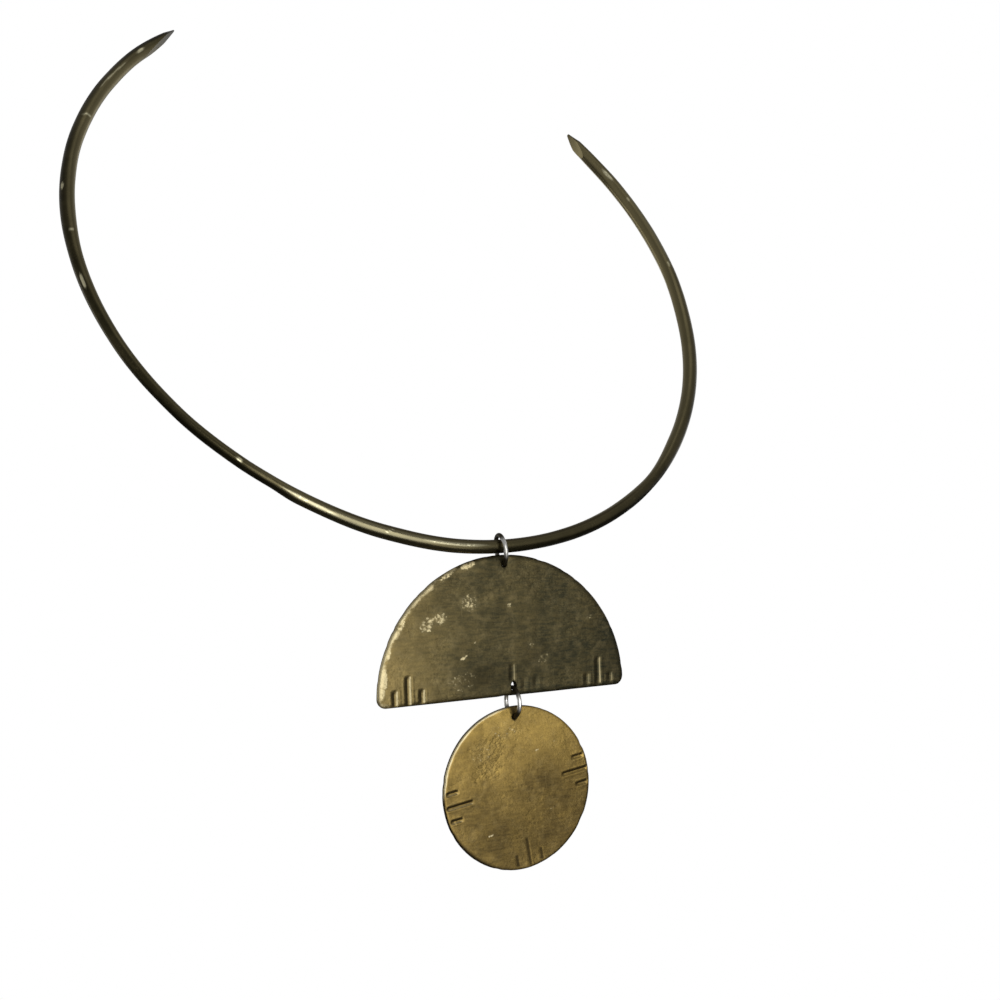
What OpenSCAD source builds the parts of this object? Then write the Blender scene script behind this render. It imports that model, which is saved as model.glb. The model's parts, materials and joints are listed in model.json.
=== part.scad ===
/* [Neck ring] */
// Diameter of the neck ring, across the middle of its rod
ring_d = 130; // [110:1:150]
// Diameter of the round rod
rod_d = 2.5; // [2:0.1:2.5]
// Slope of the ring from level, low under the throat and high at the nape
ring_slope = 58.5; // [40:0.5:65]
// Angle round the ring from the pendant to the tip of the longer arm
long_arm = 148; // [130:1:160]
// Angle round the ring from the pendant to the tip of the shorter arm
short_arm = 126; // [110:1:150]
// Length of the slanting cut on the longer arm
long_cut = 10.6; // [5:0.1:12]
// Length of the slanting cut on the shorter arm
short_cut = 6; // [5:0.1:12]

/* [Jump rings] */
// Wire diameter of both jump rings
wire_d = 0.8; // [0.6:0.05:0.8]
// Inside diameter of both jump rings
jump_inner_d = 4.4; // [4.4:0.1:5]
// Play between a jump ring and what it carries
play = 0.1; // [0.08:0.01:0.15]

/* [Half-moon plate] */
// Radius of the half-moon's round edge
moon_radius = 24.6; // [20:0.1:30]
// Depth of plate below the centre of the round edge
moon_skirt = 0.6; // [0.3:0.1:3]
// Thickness of the half-moon
moon_thick = 1.2; // [1:0.1:1.2]
// Radius of its two lower corners
corner_radius = 1.6; // [1:0.1:3]
// Metal between the upper hole and the top of the round edge
upper_web = 1.2; // [1:0.1:1.3]
// Metal between the lower hole and the straight edge
lower_web = 0.9; // [0.8:0.1:1.1]
// Sideways place of the half-moon's middle from the upper hole
moon_shift = -0.4; // [-1:0.1:1]
// Sideways place of the lower hole from the upper hole
lower_hole_shift = 1.2; // [-1.5:0.1:1.5]
// Turn of the hanging plates about the vertical
plate_turn = -4; // [-6:0.5:6]

/* [Disc plate] */
// Radius of the disc
disc_radius = 14.7; // [12:0.1:20]
// Thickness of the disc
disc_thick = 1; // [0.8:0.1:1.2]
// Metal between the disc's hole and its edge
disc_web = 1.4; // [1:0.1:1.6]
// Sideways place of the disc's middle from its hole
disc_shift = 0.4; // [-1:0.1:1]
// Turn of the stamped marks round the disc
mark_turn = 8.4; // [-20:0.1:20]

/* [Holes and stamped marks] */
// Diameter of the holes at their narrowest
hole_d = 1.5; // [1.4:0.1:1.7]
// Depth of the stamped marks
mark_depth = 0.2; // [0.1:0.05:0.3]
// Length of a short mark
short_mark = 2.4; // [1:0.1:3]
// Length of a long mark
long_mark = 5; // [3:0.1:6]
// Spacing of the marks in a group
mark_pitch = 2.5; // [2:0.1:3]
// Spacing of the half-moon's outer groups from its middle
group_pitch = 19; // [15:0.5:19]

/* [Hidden] */
$fn = 64;
ring_radius = ring_d / 2;
jump_radius = (jump_inner_d + wire_d) / 2;
// Width of the blunt edge left at each tip of the rod
tip_blunt = 0.3;
// Radius to which the edges of each hole are eased
lip_radius = 0.65;
// Radius of the punch that leaves a mark
punch_radius = 0.5;
// Bare rim between a mark and the plate's edge
mark_margin = 0.5;

// Heights below the rod's middle, each hung from the one above
upper_ring_z = rod_d / 2 + play + wire_d / 2 - jump_radius;
upper_hole_z = upper_ring_z - jump_radius + wire_d / 2 + play - hole_d / 2;
moon_centre_z = upper_hole_z + hole_d / 2 + upper_web - moon_radius;
moon_edge_z = moon_centre_z - moon_skirt;
lower_hole_z = moon_edge_z + lower_web + hole_d / 2;
lower_ring_z = moon_edge_z + lower_web + play + wire_d / 2 - jump_radius;
disc_hole_z = lower_ring_z - jump_radius + wire_d / 2 + play - hole_d / 2;
disc_centre_z = disc_hole_z + hole_d / 2 + disc_web - disc_radius;

// Places its children at the lowest point of the ring's rod, turned as the plates hang
module at_pendant() {
    translate([0, -ring_radius * cos(ring_slope), -ring_radius * sin(ring_slope)])
        rotate([0, 0, plate_turn])
            children();
}

// Stands a plate that is drawn lying down, with its top face to the front
module upright() {
    rotate([90, 0, 0])
        children();
}

// Takes the inner side off the end of one arm, from the blunt tip back to the heel
module arm_cut(arm, cut) {
    heel_angle = cut / ring_radius * 180 / PI;
    tip_x = ring_radius + rod_d / 2 - tip_blunt;
    heel_x = (ring_radius - rod_d / 2) * cos(heel_angle);
    heel_y = -(ring_radius - rod_d / 2) * sin(heel_angle);
    slant = atan2(tip_x - heel_x, -heel_y);
    block = 3 * rod_d;
    rotate([0, 0, arm - 90])
        translate([tip_x, 0, 0])
            rotate([0, 0, -slant])
                translate([-block, -cut - rod_d, -block / 2])
                    cube([block, cut + block, block]);
}

module neck_ring() {
    color("#5d5233")
        rotate([ring_slope, 0, 0])
            difference() {
                rotate([0, 0, -90 - long_arm])
                    rotate_extrude(angle = long_arm + short_arm)
                        translate([ring_radius, 0])
                            circle(d = rod_d);
                arm_cut(short_arm, short_cut);
                mirror([1, 0, 0])
                    arm_cut(long_arm, long_cut);
            }
}

// A closed round ring of wire that stands across the plates
module jump_ring() {
    rotate([0, 90, 0])
        rotate_extrude()
            translate([jump_radius, 0])
                circle(d = wire_d);
}

module upper_jump_ring() {
    color("#9a9b98")
        at_pendant()
            translate([0, 0, upper_ring_z])
                jump_ring();
}

module lower_jump_ring() {
    color("#9a9b98")
        at_pendant()
            translate([lower_hole_shift, 0, lower_ring_z])
                jump_ring();
}

// The space of a hole whose edges are eased to a round lip
module eased_hole(thick) {
    tool_height = thick + 0.04;
    rotate_extrude()
        difference() {
            translate([0, -tool_height / 2])
                square([hole_d / 2 + lip_radius, tool_height]);
            translate([hole_d / 2 + lip_radius, 0])
                circle(r = lip_radius);
        }
}

// The space of one stamped mark, from the origin along +Y, in a face at the given height
module stamped_mark(length, face) {
    translate([0, 0, face + punch_radius - mark_depth])
        rotate([-90, 0, 0])
            cylinder(r = punch_radius, h = length);
}

// A short, a long and a short mark side by side
module mark_group(face) {
    for (side = [-1, 1])
        translate([side * mark_pitch, 0, 0])
            stamped_mark(short_mark, face);
    stamped_mark(long_mark, face);
}

// The half-moon's outline about the centre of its round edge
module moon_outline() {
    corner_y = corner_radius - moon_skirt;
    corner_x = sqrt(pow(moon_radius - corner_radius, 2) - corner_y * corner_y);
    shoulder = atan2(corner_y, corner_x);
    shoulder_x = moon_radius * cos(shoulder);
    shoulder_y = moon_radius * sin(shoulder);
    intersection() {
        circle(r = moon_radius);
        translate([-moon_radius, shoulder_y])
            square([2 * moon_radius, moon_radius]);
    }
    polygon([
        [-corner_x, -moon_skirt],
        [corner_x, -moon_skirt],
        [corner_x, corner_y],
        [shoulder_x, shoulder_y],
        [-shoulder_x, shoulder_y],
        [-corner_x, corner_y]
    ]);
    for (side = [-1, 1])
        translate([side * corner_x, corner_y])
            circle(r = corner_radius);
}

module half_moon_plate() {
    color("#6b6040")
        at_pendant()
            upright()
                difference() {
                    translate([moon_shift, moon_centre_z, -moon_thick / 2])
                        linear_extrude(height = moon_thick)
                            moon_outline();
                    translate([0, upper_hole_z, 0])
                        eased_hole(moon_thick);
                    translate([lower_hole_shift, lower_hole_z, 0])
                        eased_hole(moon_thick);
                    for (side = [-1, 1])
                        translate([moon_shift + side * group_pitch, moon_edge_z + mark_margin, 0])
                            mark_group(moon_thick / 2);
                    for (side = [-1, 1])
                        translate([lower_hole_shift + side * mark_pitch, moon_edge_z + mark_margin, 0])
                            stamped_mark(short_mark, moon_thick / 2);
                    translate([lower_hole_shift, lower_hole_z + hole_d, 0])
                        stamped_mark(short_mark, moon_thick / 2);
                }
}

module disc_plate() {
    color("#84713a")
        at_pendant()
            translate([lower_hole_shift, 0, 0])
                upright()
                    difference() {
                        translate([disc_shift, disc_centre_z, -disc_thick / 2])
                            cylinder(r = disc_radius, h = disc_thick);
                        translate([0, disc_hole_z, 0])
                            eased_hole(disc_thick);
                        for (quarter = [-1:1])
                            translate([disc_shift, disc_centre_z, 0])
                                rotate([0, 0, quarter * 90 + mark_turn])
                                    translate([0, mark_margin - disc_radius, 0])
                                        mark_group(disc_thick / 2);
                    }
}

neck_ring();
upper_jump_ring();
half_moon_plate();
lower_jump_ring();
disc_plate();
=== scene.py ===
"""Dresses a stiff brass collar with its half-moon and disc in their final shapes and finishes.

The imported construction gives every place: the lowest point of the sloping collar, the two swing
axes and the boxes of the pieces. Each piece here replaces the plain solid of the same name.
"""

import json
import logging
import math
from dataclasses import astuple, dataclass, field
from enum import Enum
from typing import ClassVar

import bmesh
import bpy
from bmesh.types import BMEdge, BMesh, BMFace, BMVert
from mathutils import Matrix, Vector, noise


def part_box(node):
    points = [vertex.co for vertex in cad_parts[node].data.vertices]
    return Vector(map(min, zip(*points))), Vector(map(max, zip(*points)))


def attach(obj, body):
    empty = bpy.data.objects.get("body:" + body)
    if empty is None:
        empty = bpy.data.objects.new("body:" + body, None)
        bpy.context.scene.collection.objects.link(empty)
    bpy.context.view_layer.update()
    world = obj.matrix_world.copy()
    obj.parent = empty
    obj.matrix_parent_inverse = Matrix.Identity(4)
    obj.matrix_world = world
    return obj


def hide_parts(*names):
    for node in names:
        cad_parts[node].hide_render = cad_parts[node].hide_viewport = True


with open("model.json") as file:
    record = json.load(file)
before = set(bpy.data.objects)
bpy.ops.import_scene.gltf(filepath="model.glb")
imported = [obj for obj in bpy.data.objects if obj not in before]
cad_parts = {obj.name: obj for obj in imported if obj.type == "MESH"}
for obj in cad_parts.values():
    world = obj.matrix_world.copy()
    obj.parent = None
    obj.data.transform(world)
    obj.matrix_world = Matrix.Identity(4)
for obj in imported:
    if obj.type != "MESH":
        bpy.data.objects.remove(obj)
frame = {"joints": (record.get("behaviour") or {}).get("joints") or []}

LOG = logging.getLogger("collar")
# One millimetre in the frame's metres
MM = 0.001
# Side of the picture in pixels, and width of the sensor in millimetres
IMAGE_SIDE = 1000
SENSOR = 36.0
# Depth that counts as far from any rim
FAR_FROM_RIM = 5.0
# How quickly a patch falls off at its edge
SPOT_EDGE = 2.0
# Sides of the largest face that is shaded as part of a round surface
QUAD = 4
# Distances below which points are merged, and below which a cut takes the points that are there
WELD = 0.0005
CUT_SNAP = 0.0001

Colour = tuple[float, float, float]
Point = tuple[float, float]
Socket = bpy.types.NodeSocket
Tree = bpy.types.NodeTree


class Side(Enum):
    """The two arms of the collar, as signs of the angle round it from its lowest point."""

    LONG = -1
    SHORT = 1


class Axis(Enum):
    """The axes about which rod and wire are bent, as directions."""

    X = (1, 0, 0)
    Z = (0, 0, 1)


class Layer(Enum):
    """The values that a mesh carries at its points for the finishes, by their names."""

    # Depth into the rim, greater where the rim is out of the light, so that its rubbed and painted highlight
    # shows on the lit side alone
    RIM = "rim"
    # Each mark's shaded flank, sooty and in painted shade, above 0, and its lit flank, a painted highlight,
    # below 0
    MARK = "mark"
    # Rubbed wear, painted highlights and painted glints
    WORN = "worn"
    # Brightness with painted light in it: lighter where the light falls and darker where shade falls
    TONE = "tone"
    # Stains and painted shade: the painted shadow by the holes, the dark outline of tarnish and painted
    # shade on the rim, the rings' dark spans and the rod's dark band
    GRIME = "grime"
    PITTED = "pitted"


class Blend(Enum):
    """What a Mix node mixes: its type, the places of its two inputs and the place of its result."""

    COLOURS = ("RGBA", 6, 7, 2)
    VALUES = ("FLOAT", 2, 3, 0)


class Swell(Enum):
    """The uneven patterns in a plate, by the level of the noise that each is read on."""

    WARP = 0
    FRONT_DENTS = 3
    WAVES = 5
    BACK_DENTS = 9
    NICKS = 21


class Punch(Enum):
    """The tool that struck a plate's marks, by its half width and depth in millimetres."""

    BROAD = (0.68, 0.26)
    FINE = (0.46, 0.22)

    @property
    def half_width(self) -> float:
        """Half the width of a mark at the surface."""
        return self.value[0]

    @property
    def depth(self) -> float:
        """Depth of a mark along its middle."""
        return self.value[1]


def limited(value: float) -> float:
    """Keeps a value from 0 to 1."""
    return min(1.0, max(0.0, value))


def quarter_round(rise: float) -> float:
    """Gives the height of a quarter circle at a place from its top, 0, to its foot, 1."""
    return math.sqrt(max(0.0, 1 - rise * rise))


@dataclass(frozen=True)
class Mark:
    """One struck mark, from its start to its end in plate millimetres.

    The class's own values are shares of half the mark's width.
    """

    start: Point
    end: Point
    strength: float = 1.0
    soot_and_shade: float = 1.0
    lit_flank_highlight: float = 1.0
    reach: ClassVar[float] = 1.9
    bite_past_end: ClassVar[float] = 0.5
    bite_fade: ClassVar[float] = 1.2
    wall_curve: ClassVar[float] = 0.8
    burr_height: ClassVar[float] = 0.12
    burr_place: ClassVar[float] = 1.35
    burr_half: ClassVar[float] = 0.4
    flank_past_end: ClassVar[float] = 0.4
    flank_fade: ClassVar[float] = 0.7
    crisp_edge: ClassVar[float] = 3.0
    soft_edge: ClassVar[float] = 1.6
    flank_steepness: ClassVar[float] = 2.0
    flank_shift: ClassVar[float] = 0.3
    # Way that the flank in painted shade faces, away from the light
    shaded_way: ClassVar[Point] = (0.8, 0.6)

    @property
    def run(self) -> Point:
        """The way from the start to the end."""
        return self.end[0] - self.start[0], self.end[1] - self.start[1]

    def place(self, x: float, y: float) -> tuple[float, float, float]:
        """Finds a point's place by the mark.

        Args:
            x: Place across the plate.
            y: Place up the plate.

        Returns:
            The distance along the mark, the distance across it, and its length.
        """
        run_x, run_y = self.run
        length = math.hypot(run_x, run_y)
        dx, dy = x - self.start[0], y - self.start[1]
        along = (dx * run_x + dy * run_y) / length
        across = (dy * run_x - dx * run_y) / length
        return along, across, length

    def is_near(self, x: float, y: float, half: float) -> bool:
        """Tells whether a point is close enough to the mark to need fine faces.

        Args:
            x: Place across the plate.
            y: Place up the plate.
            half: Half the mark's width.

        Returns:
            Whether it is.
        """
        along, across, length = self.place(x, y)
        reach = self.reach * half
        return -reach < along < length + reach and abs(across) < reach

    def bite(self, x: float, y: float, half: float) -> float:
        """Gives how deeply the mark is struck at a point.

        Args:
            x: Place across the plate.
            y: Place up the plate.
            half: Half the mark's width.

        Returns:
            The share of the full depth, below 0 on the raised burr.
        """
        along, across, length = self.place(x, y)
        ends = limited((min(along, length - along) + self.bite_past_end * half) / (self.bite_fade * half))
        off = abs(across) / half
        if off < 1.0:
            return self.strength * ends * (1.0 - off) ** self.wall_curve
        burr = max(0.0, 1.0 - abs(off - self.burr_place) / self.burr_half)
        return -self.burr_height * self.strength * ends * burr

    def flank(self, x: float, y: float, half: float) -> float:
        """Tells the mark's two flanks apart: the one that faces down and right, away from the light, is
        sooty and in painted shade, and the other carries a painted highlight.

        Args:
            x: Place across the plate.
            y: Place up the plate.
            half: Half the mark's width.

        Returns:
            The sooty darkness with painted shade on the shaded flank, or the painted highlight on the lit
            flank as a value below 0. A mark whose highlight share is itself below 0 is dark right across,
            sooty and in painted shade.
        """
        along, across, length = self.place(x, y)
        ends = limited((min(along, length - along) + self.flank_past_end * half) / (self.flank_fade * half))
        run_x, run_y = self.run
        facing = self.shaded_way[0] * run_x + self.shaded_way[1] * run_y
        side = across / half * (1 if facing > 0 else -1)
        if self.lit_flank_highlight < 0:
            return ends * limited(self.soft_edge * (1.0 - abs(side))) * self.soot_and_shade
        inside = limited(self.crisp_edge * (1.0 - abs(side)))
        turned = min(1.0, max(-1.0, self.flank_steepness * side + self.flank_shift))
        return ends * inside * turned * (self.soot_and_shade if turned > 0 else self.lit_flank_highlight)


@dataclass(frozen=True)
class Hole:
    """A punched hole, round or narrowed sideways, dark at its wall, dirty there and in painted shade, with a
    painted shadow of the ring's wire in a wedge that spreads to the plate's near edge.
    """

    x: float
    y: float
    radius: float
    lean: float
    edge_side: int
    wedge_growth: float = 0.37
    wedge_half: float = 0.12
    wedge_start: float = 0.4
    wedge_strength: float = 0.65
    grime_and_shade_reach: float = 0.40

    def distance(self, x: float, y: float) -> float:
        """Gives a point's distance from the hole's wall, below 0 inside it."""
        return math.hypot((x - self.x) / self.lean, y - self.y) - self.radius

    def grime(self, x: float, y: float) -> float:
        """Gives how dark a point is painted by the hole.

        Args:
            x: Place across the plate.
            y: Place up the plate.

        Returns:
            The darkness, 1 at the wall and less in the wedge of painted shadow up to the edge.
        """
        near = 1.0 - self.distance(x, y) / self.grime_and_shade_reach
        along = (y - self.y) * self.edge_side + self.radius + self.wedge_start
        half = self.wedge_half + self.wedge_growth * max(0.0, along)
        # Painted shadow of the ring's wire, a wedge from the hole to the plate's edge
        wedge = self.wedge_strength * (1.0 - ((x - self.x) / half) ** 4) if along > 0 else 0.0
        return limited(max(near, wedge))


@dataclass(frozen=True)
class Spot:
    """A patch of rubbed wear, of painted highlight or of painted shade, an ellipse in millimetres over the
    surface.
    """

    x: float
    y: float
    reach_x: float
    reach_y: float
    turn: float = 0.0
    strength: float = 1.0

    def mask(self, x: float, y: float) -> float:
        """Gives how strong the patch is at a point.

        Args:
            x: Place across or along the surface.
            y: Place up or round the surface.

        Returns:
            Its full strength over its inner part, down to 0 at its edge.
        """
        c, s = math.cos(math.radians(self.turn)), math.sin(math.radians(self.turn))
        dx, dy = x - self.x, y - self.y
        across, up = (dx * c + dy * s) / self.reach_x, (dy * c - dx * s) / self.reach_y
        return self.strength * limited(SPOT_EDGE * (1.0 - math.hypot(across, up) ** 2))


def strongest(spots: tuple[Spot, ...], x: float, y: float) -> float:
    """Gives how strong the strongest of some patches is at a point."""
    return max((spot.mask(x, y) for spot in spots), default=0.0)


@dataclass(frozen=True)
class Shade:
    """A soft shade without an edge, with the squares of the lengths over which it fades."""

    x: float
    y: float
    fade_x: float
    fade_y: float
    strength: float

    def level(self, x: float, y: float) -> float:
        """Gives how strong the shade is at a point."""
        return self.strength * math.exp(-((x - self.x) ** 2 / self.fade_x + (y - self.y) ** 2 / self.fade_y))


def add_node(tree: Tree, kind: str, **settings: object) -> bpy.types.Node:
    """Adds a node to a tree.

    Args:
        tree: The tree that gets the node.
        kind: The node's type name.
        **settings: Properties of the node by name.

    Returns:
        The new node.
    """
    made = tree.nodes.new(kind)
    for key, value in settings.items():
        setattr(made, key, value)
    return made


def feed(tree: Tree, value: object, target: Socket) -> None:
    """Feeds a socket from another socket, or sets it to a plain value or colour.

    Args:
        tree: The tree that holds the sockets.
        value: The other socket, the value or the colour.
        target: The socket to feed.
    """
    if isinstance(value, bpy.types.NodeSocket):
        tree.links.new(value, target)
    elif target.type == "RGBA":
        target.default_value = (*value, 1.0)
    else:
        target.default_value = value


def combine(tree: Tree, how: str, a: object, b: object, clamp: bool = False) -> Socket:
    """Puts two values through a Math node.

    Args:
        tree: The tree that gets the node.
        how: The Math node's operation.
        a: First value or socket.
        b: Second value or socket.
        clamp: Whether the result is kept from 0 to 1.

    Returns:
        The result's socket.
    """
    made = add_node(tree, "ShaderNodeMath", operation=how, use_clamp=clamp)
    feed(tree, a, made.inputs[0])
    feed(tree, b, made.inputs[1])
    return made.outputs[0]


def blend(tree: Tree, kind: Blend, share: object, a: object, b: object) -> Socket:
    """Mixes two colours or two values by a share.

    Args:
        tree: The tree that gets the node.
        kind: What is mixed.
        share: Share of the second, a value or a socket.
        a: The first, plain or a socket.
        b: The second, plain or a socket.

    Returns:
        The socket of the mix.
    """
    data_type, first, second, result = kind.value
    made = add_node(tree, "ShaderNodeMix", data_type=data_type)
    feed(tree, share, made.inputs[0])
    feed(tree, a, made.inputs[first])
    feed(tree, b, made.inputs[second])
    return made.outputs[result]


def show_lens(tree: Tree, seen: Socket, elsewhere: Socket) -> Socket:
    """Shows the camera one shader and the light that bounces about another.

    Args:
        tree: The tree that gets the nodes.
        seen: What the camera sees.
        elsewhere: What lights and mirrors itself in the piece.

    Returns:
        The mixed shader's socket.
    """
    made = add_node(tree, "ShaderNodeMixShader")
    feed(tree, add_node(tree, "ShaderNodeLightPath").outputs["Is Camera Ray"], made.inputs[0])
    feed(tree, elsewhere, made.inputs[1])
    feed(tree, seen, made.inputs[2])
    return made.outputs[0]


def spread(tree: Tree, value: Socket, low: object, high: object, to: Point = (0.0, 1.0)) -> Socket:
    """Spreads the values between low and high over another range, with soft ends.

    Args:
        tree: The tree that gets the node.
        value: The socket to spread.
        low: Value that becomes the first of the new range.
        high: Value that becomes the second of the new range.
        to: The new range.

    Returns:
        The new value's socket.
    """
    made = add_node(tree, "ShaderNodeMapRange", interpolation_type="SMOOTHSTEP")
    for target, part in zip(made.inputs, (value, low, high, *to)):
        feed(tree, part, target)
    return made.outputs[0]


def layer(tree: Tree, name: Layer) -> Socket:
    """Reads a value that the mesh carries at its points."""
    return add_node(tree, "ShaderNodeAttribute", attribute_name=name.value).outputs["Fac"]


def stretched_place(tree: Tree, stretch: Colour = (1, 1, 1), turn: Colour = (0, 0, 0)) -> Socket:
    """Gives the place on the piece, for a pattern that is drawn out along turned axes.

    Args:
        tree: The tree that gets the nodes.
        stretch: How many times longer the pattern is along each turned axis.
        turn: Turn of the axes, in radians.

    Returns:
        The place's socket.
    """
    mapping = add_node(tree, "ShaderNodeMapping", vector_type="TEXTURE")
    mapping.inputs["Scale"].default_value = stretch
    mapping.inputs["Rotation"].default_value = turn
    feed(tree, add_node(tree, "ShaderNodeTexCoord").outputs["Object"], mapping.inputs["Vector"])
    return mapping.outputs["Vector"]


def clouds(tree: Tree, place: Socket, scale: object, detail: float, roughness: float = 0.5) -> Socket:
    """Makes a cloudy noise on a place.

    Args:
        tree: The tree that gets the node.
        place: The place's socket.
        scale: Scale of the noise, a value or a socket.
        detail: Octaves of finer noise.
        roughness: Strength of the finer noise.

    Returns:
        The noise's socket, from 0 to 1.
    """
    made = add_node(tree, "ShaderNodeTexNoise", noise_dimensions="3D")
    feed(tree, place, made.inputs["Vector"])
    feed(tree, scale, made.inputs["Scale"])
    made.inputs["Detail"].default_value = detail
    made.inputs["Roughness"].default_value = roughness
    return made.outputs["Fac"]


class ShaderGroup:
    """A node group with named inputs and one output."""

    def __init__(self, name: str, output: str, **inputs: float) -> None:
        """Starts the group.

        Args:
            name: The group's name in plain words.
            output: The output's name.
            **inputs: Default values of the inputs by name.
        """
        self.tree = bpy.data.node_groups.new(name, "ShaderNodeTree")
        self.output = output
        for key, value in inputs.items():
            made = self.tree.interface.new_socket(name=key, in_out="INPUT", socket_type="NodeSocketFloat")
            made.default_value = value
        self.tree.interface.new_socket(name=output, in_out="OUTPUT", socket_type="NodeSocketFloat")
        self.inside = add_node(self.tree, "NodeGroupInput")
        self.outside = add_node(self.tree, "NodeGroupOutput")

    def given(self, name: str) -> Socket:
        """Gives the socket of one of the group's inputs, inside it."""
        return self.inside.outputs[name]

    def close(self, result: Socket) -> Tree:
        """Joins the result to the group's output and hands the finished tree over."""
        feed(self.tree, result, self.outside.inputs[self.output])
        return self.tree


def build_mottle() -> Tree:
    """Makes the cloudy mask by which tarnish comes and goes over a surface.

    Returns:
        The finished group.
    """
    group = ShaderGroup("tarnish mottle", "Mask", Scale=120.0, Low=0.35, High=0.65)
    tree = group.tree
    cloud = clouds(tree, stretched_place(tree), group.given("Scale"), detail=5.0, roughness=0.6)
    return group.close(spread(tree, cloud, group.given("Low"), group.given("High")))


def build_scratches() -> Tree:
    """Makes the mask of hairline scratches that cross each other in four directions.

    Returns:
        The finished group.
    """
    group = ShaderGroup("fine scratches", "Mask", Scale=3500.0, Cover=0.4, Amount=0.5)
    tree = group.tree
    turns = ((0.0, 0.08, 0.0), (0.0, 0.75, 0.1), (0.0, -0.9, -0.1), (0.4, 1.5, 0.0))
    total: object = 0.0
    for turn in turns:
        place = stretched_place(tree, stretch=(22, 1, 1), turn=turn)
        lines = spread(tree, clouds(tree, place, group.given("Scale"), detail=1.0), low=0.63, high=0.74)
        total = combine(tree, "MAXIMUM", total, lines)
    patches = clouds(tree, stretched_place(tree), scale=260.0, detail=3.0)
    shown = combine(tree, "MULTIPLY", total, spread(tree, patches, group.given("Cover"), high=0.75))
    return group.close(combine(tree, "MULTIPLY", shown, group.given("Amount"), clamp=True))


def build_rim_wear_and_highlight() -> Tree:
    """Makes the mask of the bright band along the lit edges, rubbed and in painted highlight, broken up by a
    fine noise.

    Returns:
        The finished group.
    """
    group = ShaderGroup("rim wear", "Mask", Width=0.5, Break=0.5)
    tree = group.tree
    share = combine(tree, "DIVIDE", layer(tree, Layer.RIM), group.given("Width"))
    near = combine(tree, "SUBTRACT", 1.0, share, clamp=True)
    breaks = clouds(tree, stretched_place(tree), scale=420.0, detail=4.0, roughness=0.6)
    lost = combine(tree, "MULTIPLY", spread(tree, breaks, low=0.3, high=0.7), group.given("Break"))
    return group.close(spread(tree, combine(tree, "SUBTRACT", near, lost, clamp=True), low=0.05, high=0.6))


def build_specks() -> Tree:
    """Makes the mask of the rubbed patches and painted highlights, as bright specks that crowd together
    where these are strong.

    Returns:
        The finished group.
    """
    group = ShaderGroup("worn specks", "Mask", Scale=1900.0, Crowding=0.45)
    tree = group.tree
    place = stretched_place(tree, stretch=(1.3, 1, 1), turn=(0, 0.5, 0))
    cloud = clouds(tree, place, group.given("Scale"), detail=2.0, roughness=0.6)
    crowd = combine(tree, "MULTIPLY", layer(tree, Layer.WORN), group.given("Crowding"))
    return group.close(spread(tree, combine(tree, "ADD", crowd, cloud), low=0.82, high=1.13))


def build_streaks() -> Tree:
    """Makes the level of the brushed streaks that run across a plate.

    Returns:
        The finished group.
    """
    group = ShaderGroup("brushed streaks", "Level", Scale=2400.0)
    tree = group.tree
    place = stretched_place(tree, stretch=(5, 1, 1), turn=(0.0, 0.03, 0.0))
    cloud = clouds(tree, place, group.given("Scale"), detail=3.0, roughness=0.6)
    return group.close(spread(tree, cloud, low=0.34, high=0.66))


def build_relief() -> Tree:
    """Makes the height of a hand-worked surface: planishing dents, a fine grain and pits.

    Returns:
        The finished group.
    """
    group = ShaderGroup("worked relief", "Height", Dents=0.5, Grain=0.2, Pits=0.0)
    tree = group.tree
    place = stretched_place(tree)
    dents = clouds(tree, place, scale=300.0, detail=2.0, roughness=0.4)
    grain = clouds(tree, place, scale=2600.0, detail=3.0, roughness=0.6)
    dents = combine(tree, "MULTIPLY", dents, group.given("Dents"))
    grain = combine(tree, "MULTIPLY", grain, group.given("Grain"))
    hollow = clouds(tree, stretched_place(tree, stretch=(1.4, 1, 1)), scale=1500.0, detail=2.0)
    cover = spread(tree, clouds(tree, place, scale=170.0, detail=2.0), low=0.35, high=0.6)
    kept = combine(tree, "MULTIPLY", cover, layer(tree, Layer.PITTED))
    pits = combine(tree, "MULTIPLY", combine(tree, "MULTIPLY", hollow, kept), group.given("Pits"))
    return group.close(combine(tree, "SUBTRACT", combine(tree, "ADD", dents, grain), pits))


@dataclass
class Effects:
    """The node groups that more than one finish places."""

    mottle: Tree = field(default_factory=build_mottle)
    scratches: Tree = field(default_factory=build_scratches)
    rim_wear_and_highlight: Tree = field(default_factory=build_rim_wear_and_highlight)
    specks: Tree = field(default_factory=build_specks)
    streaks: Tree = field(default_factory=build_streaks)
    relief: Tree = field(default_factory=build_relief)


def place_group(tree: Tree, group: Tree, **values: float) -> Socket:
    """Places a shared node group in a material.

    Args:
        tree: The material's tree.
        group: The group to place.
        **values: Values of the group's inputs by name.

    Returns:
        The group's output.
    """
    made = add_node(tree, "ShaderNodeGroup", node_tree=group)
    for key, value in values.items():
        made.inputs[key].default_value = value
    return made.outputs[0]


def start_metal(name: str) -> tuple[bpy.types.Material, Tree, bpy.types.Node]:
    """Starts the material of a metal.

    Args:
        name: The material's name.

    Returns:
        The material, its tree and its main shader.
    """
    material = bpy.data.materials.new(name)
    material.use_nodes = True
    tree = material.node_tree
    shader = tree.nodes["Principled BSDF"]
    shader.inputs["Metallic"].default_value = 1.0
    return material, tree, shader


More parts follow.
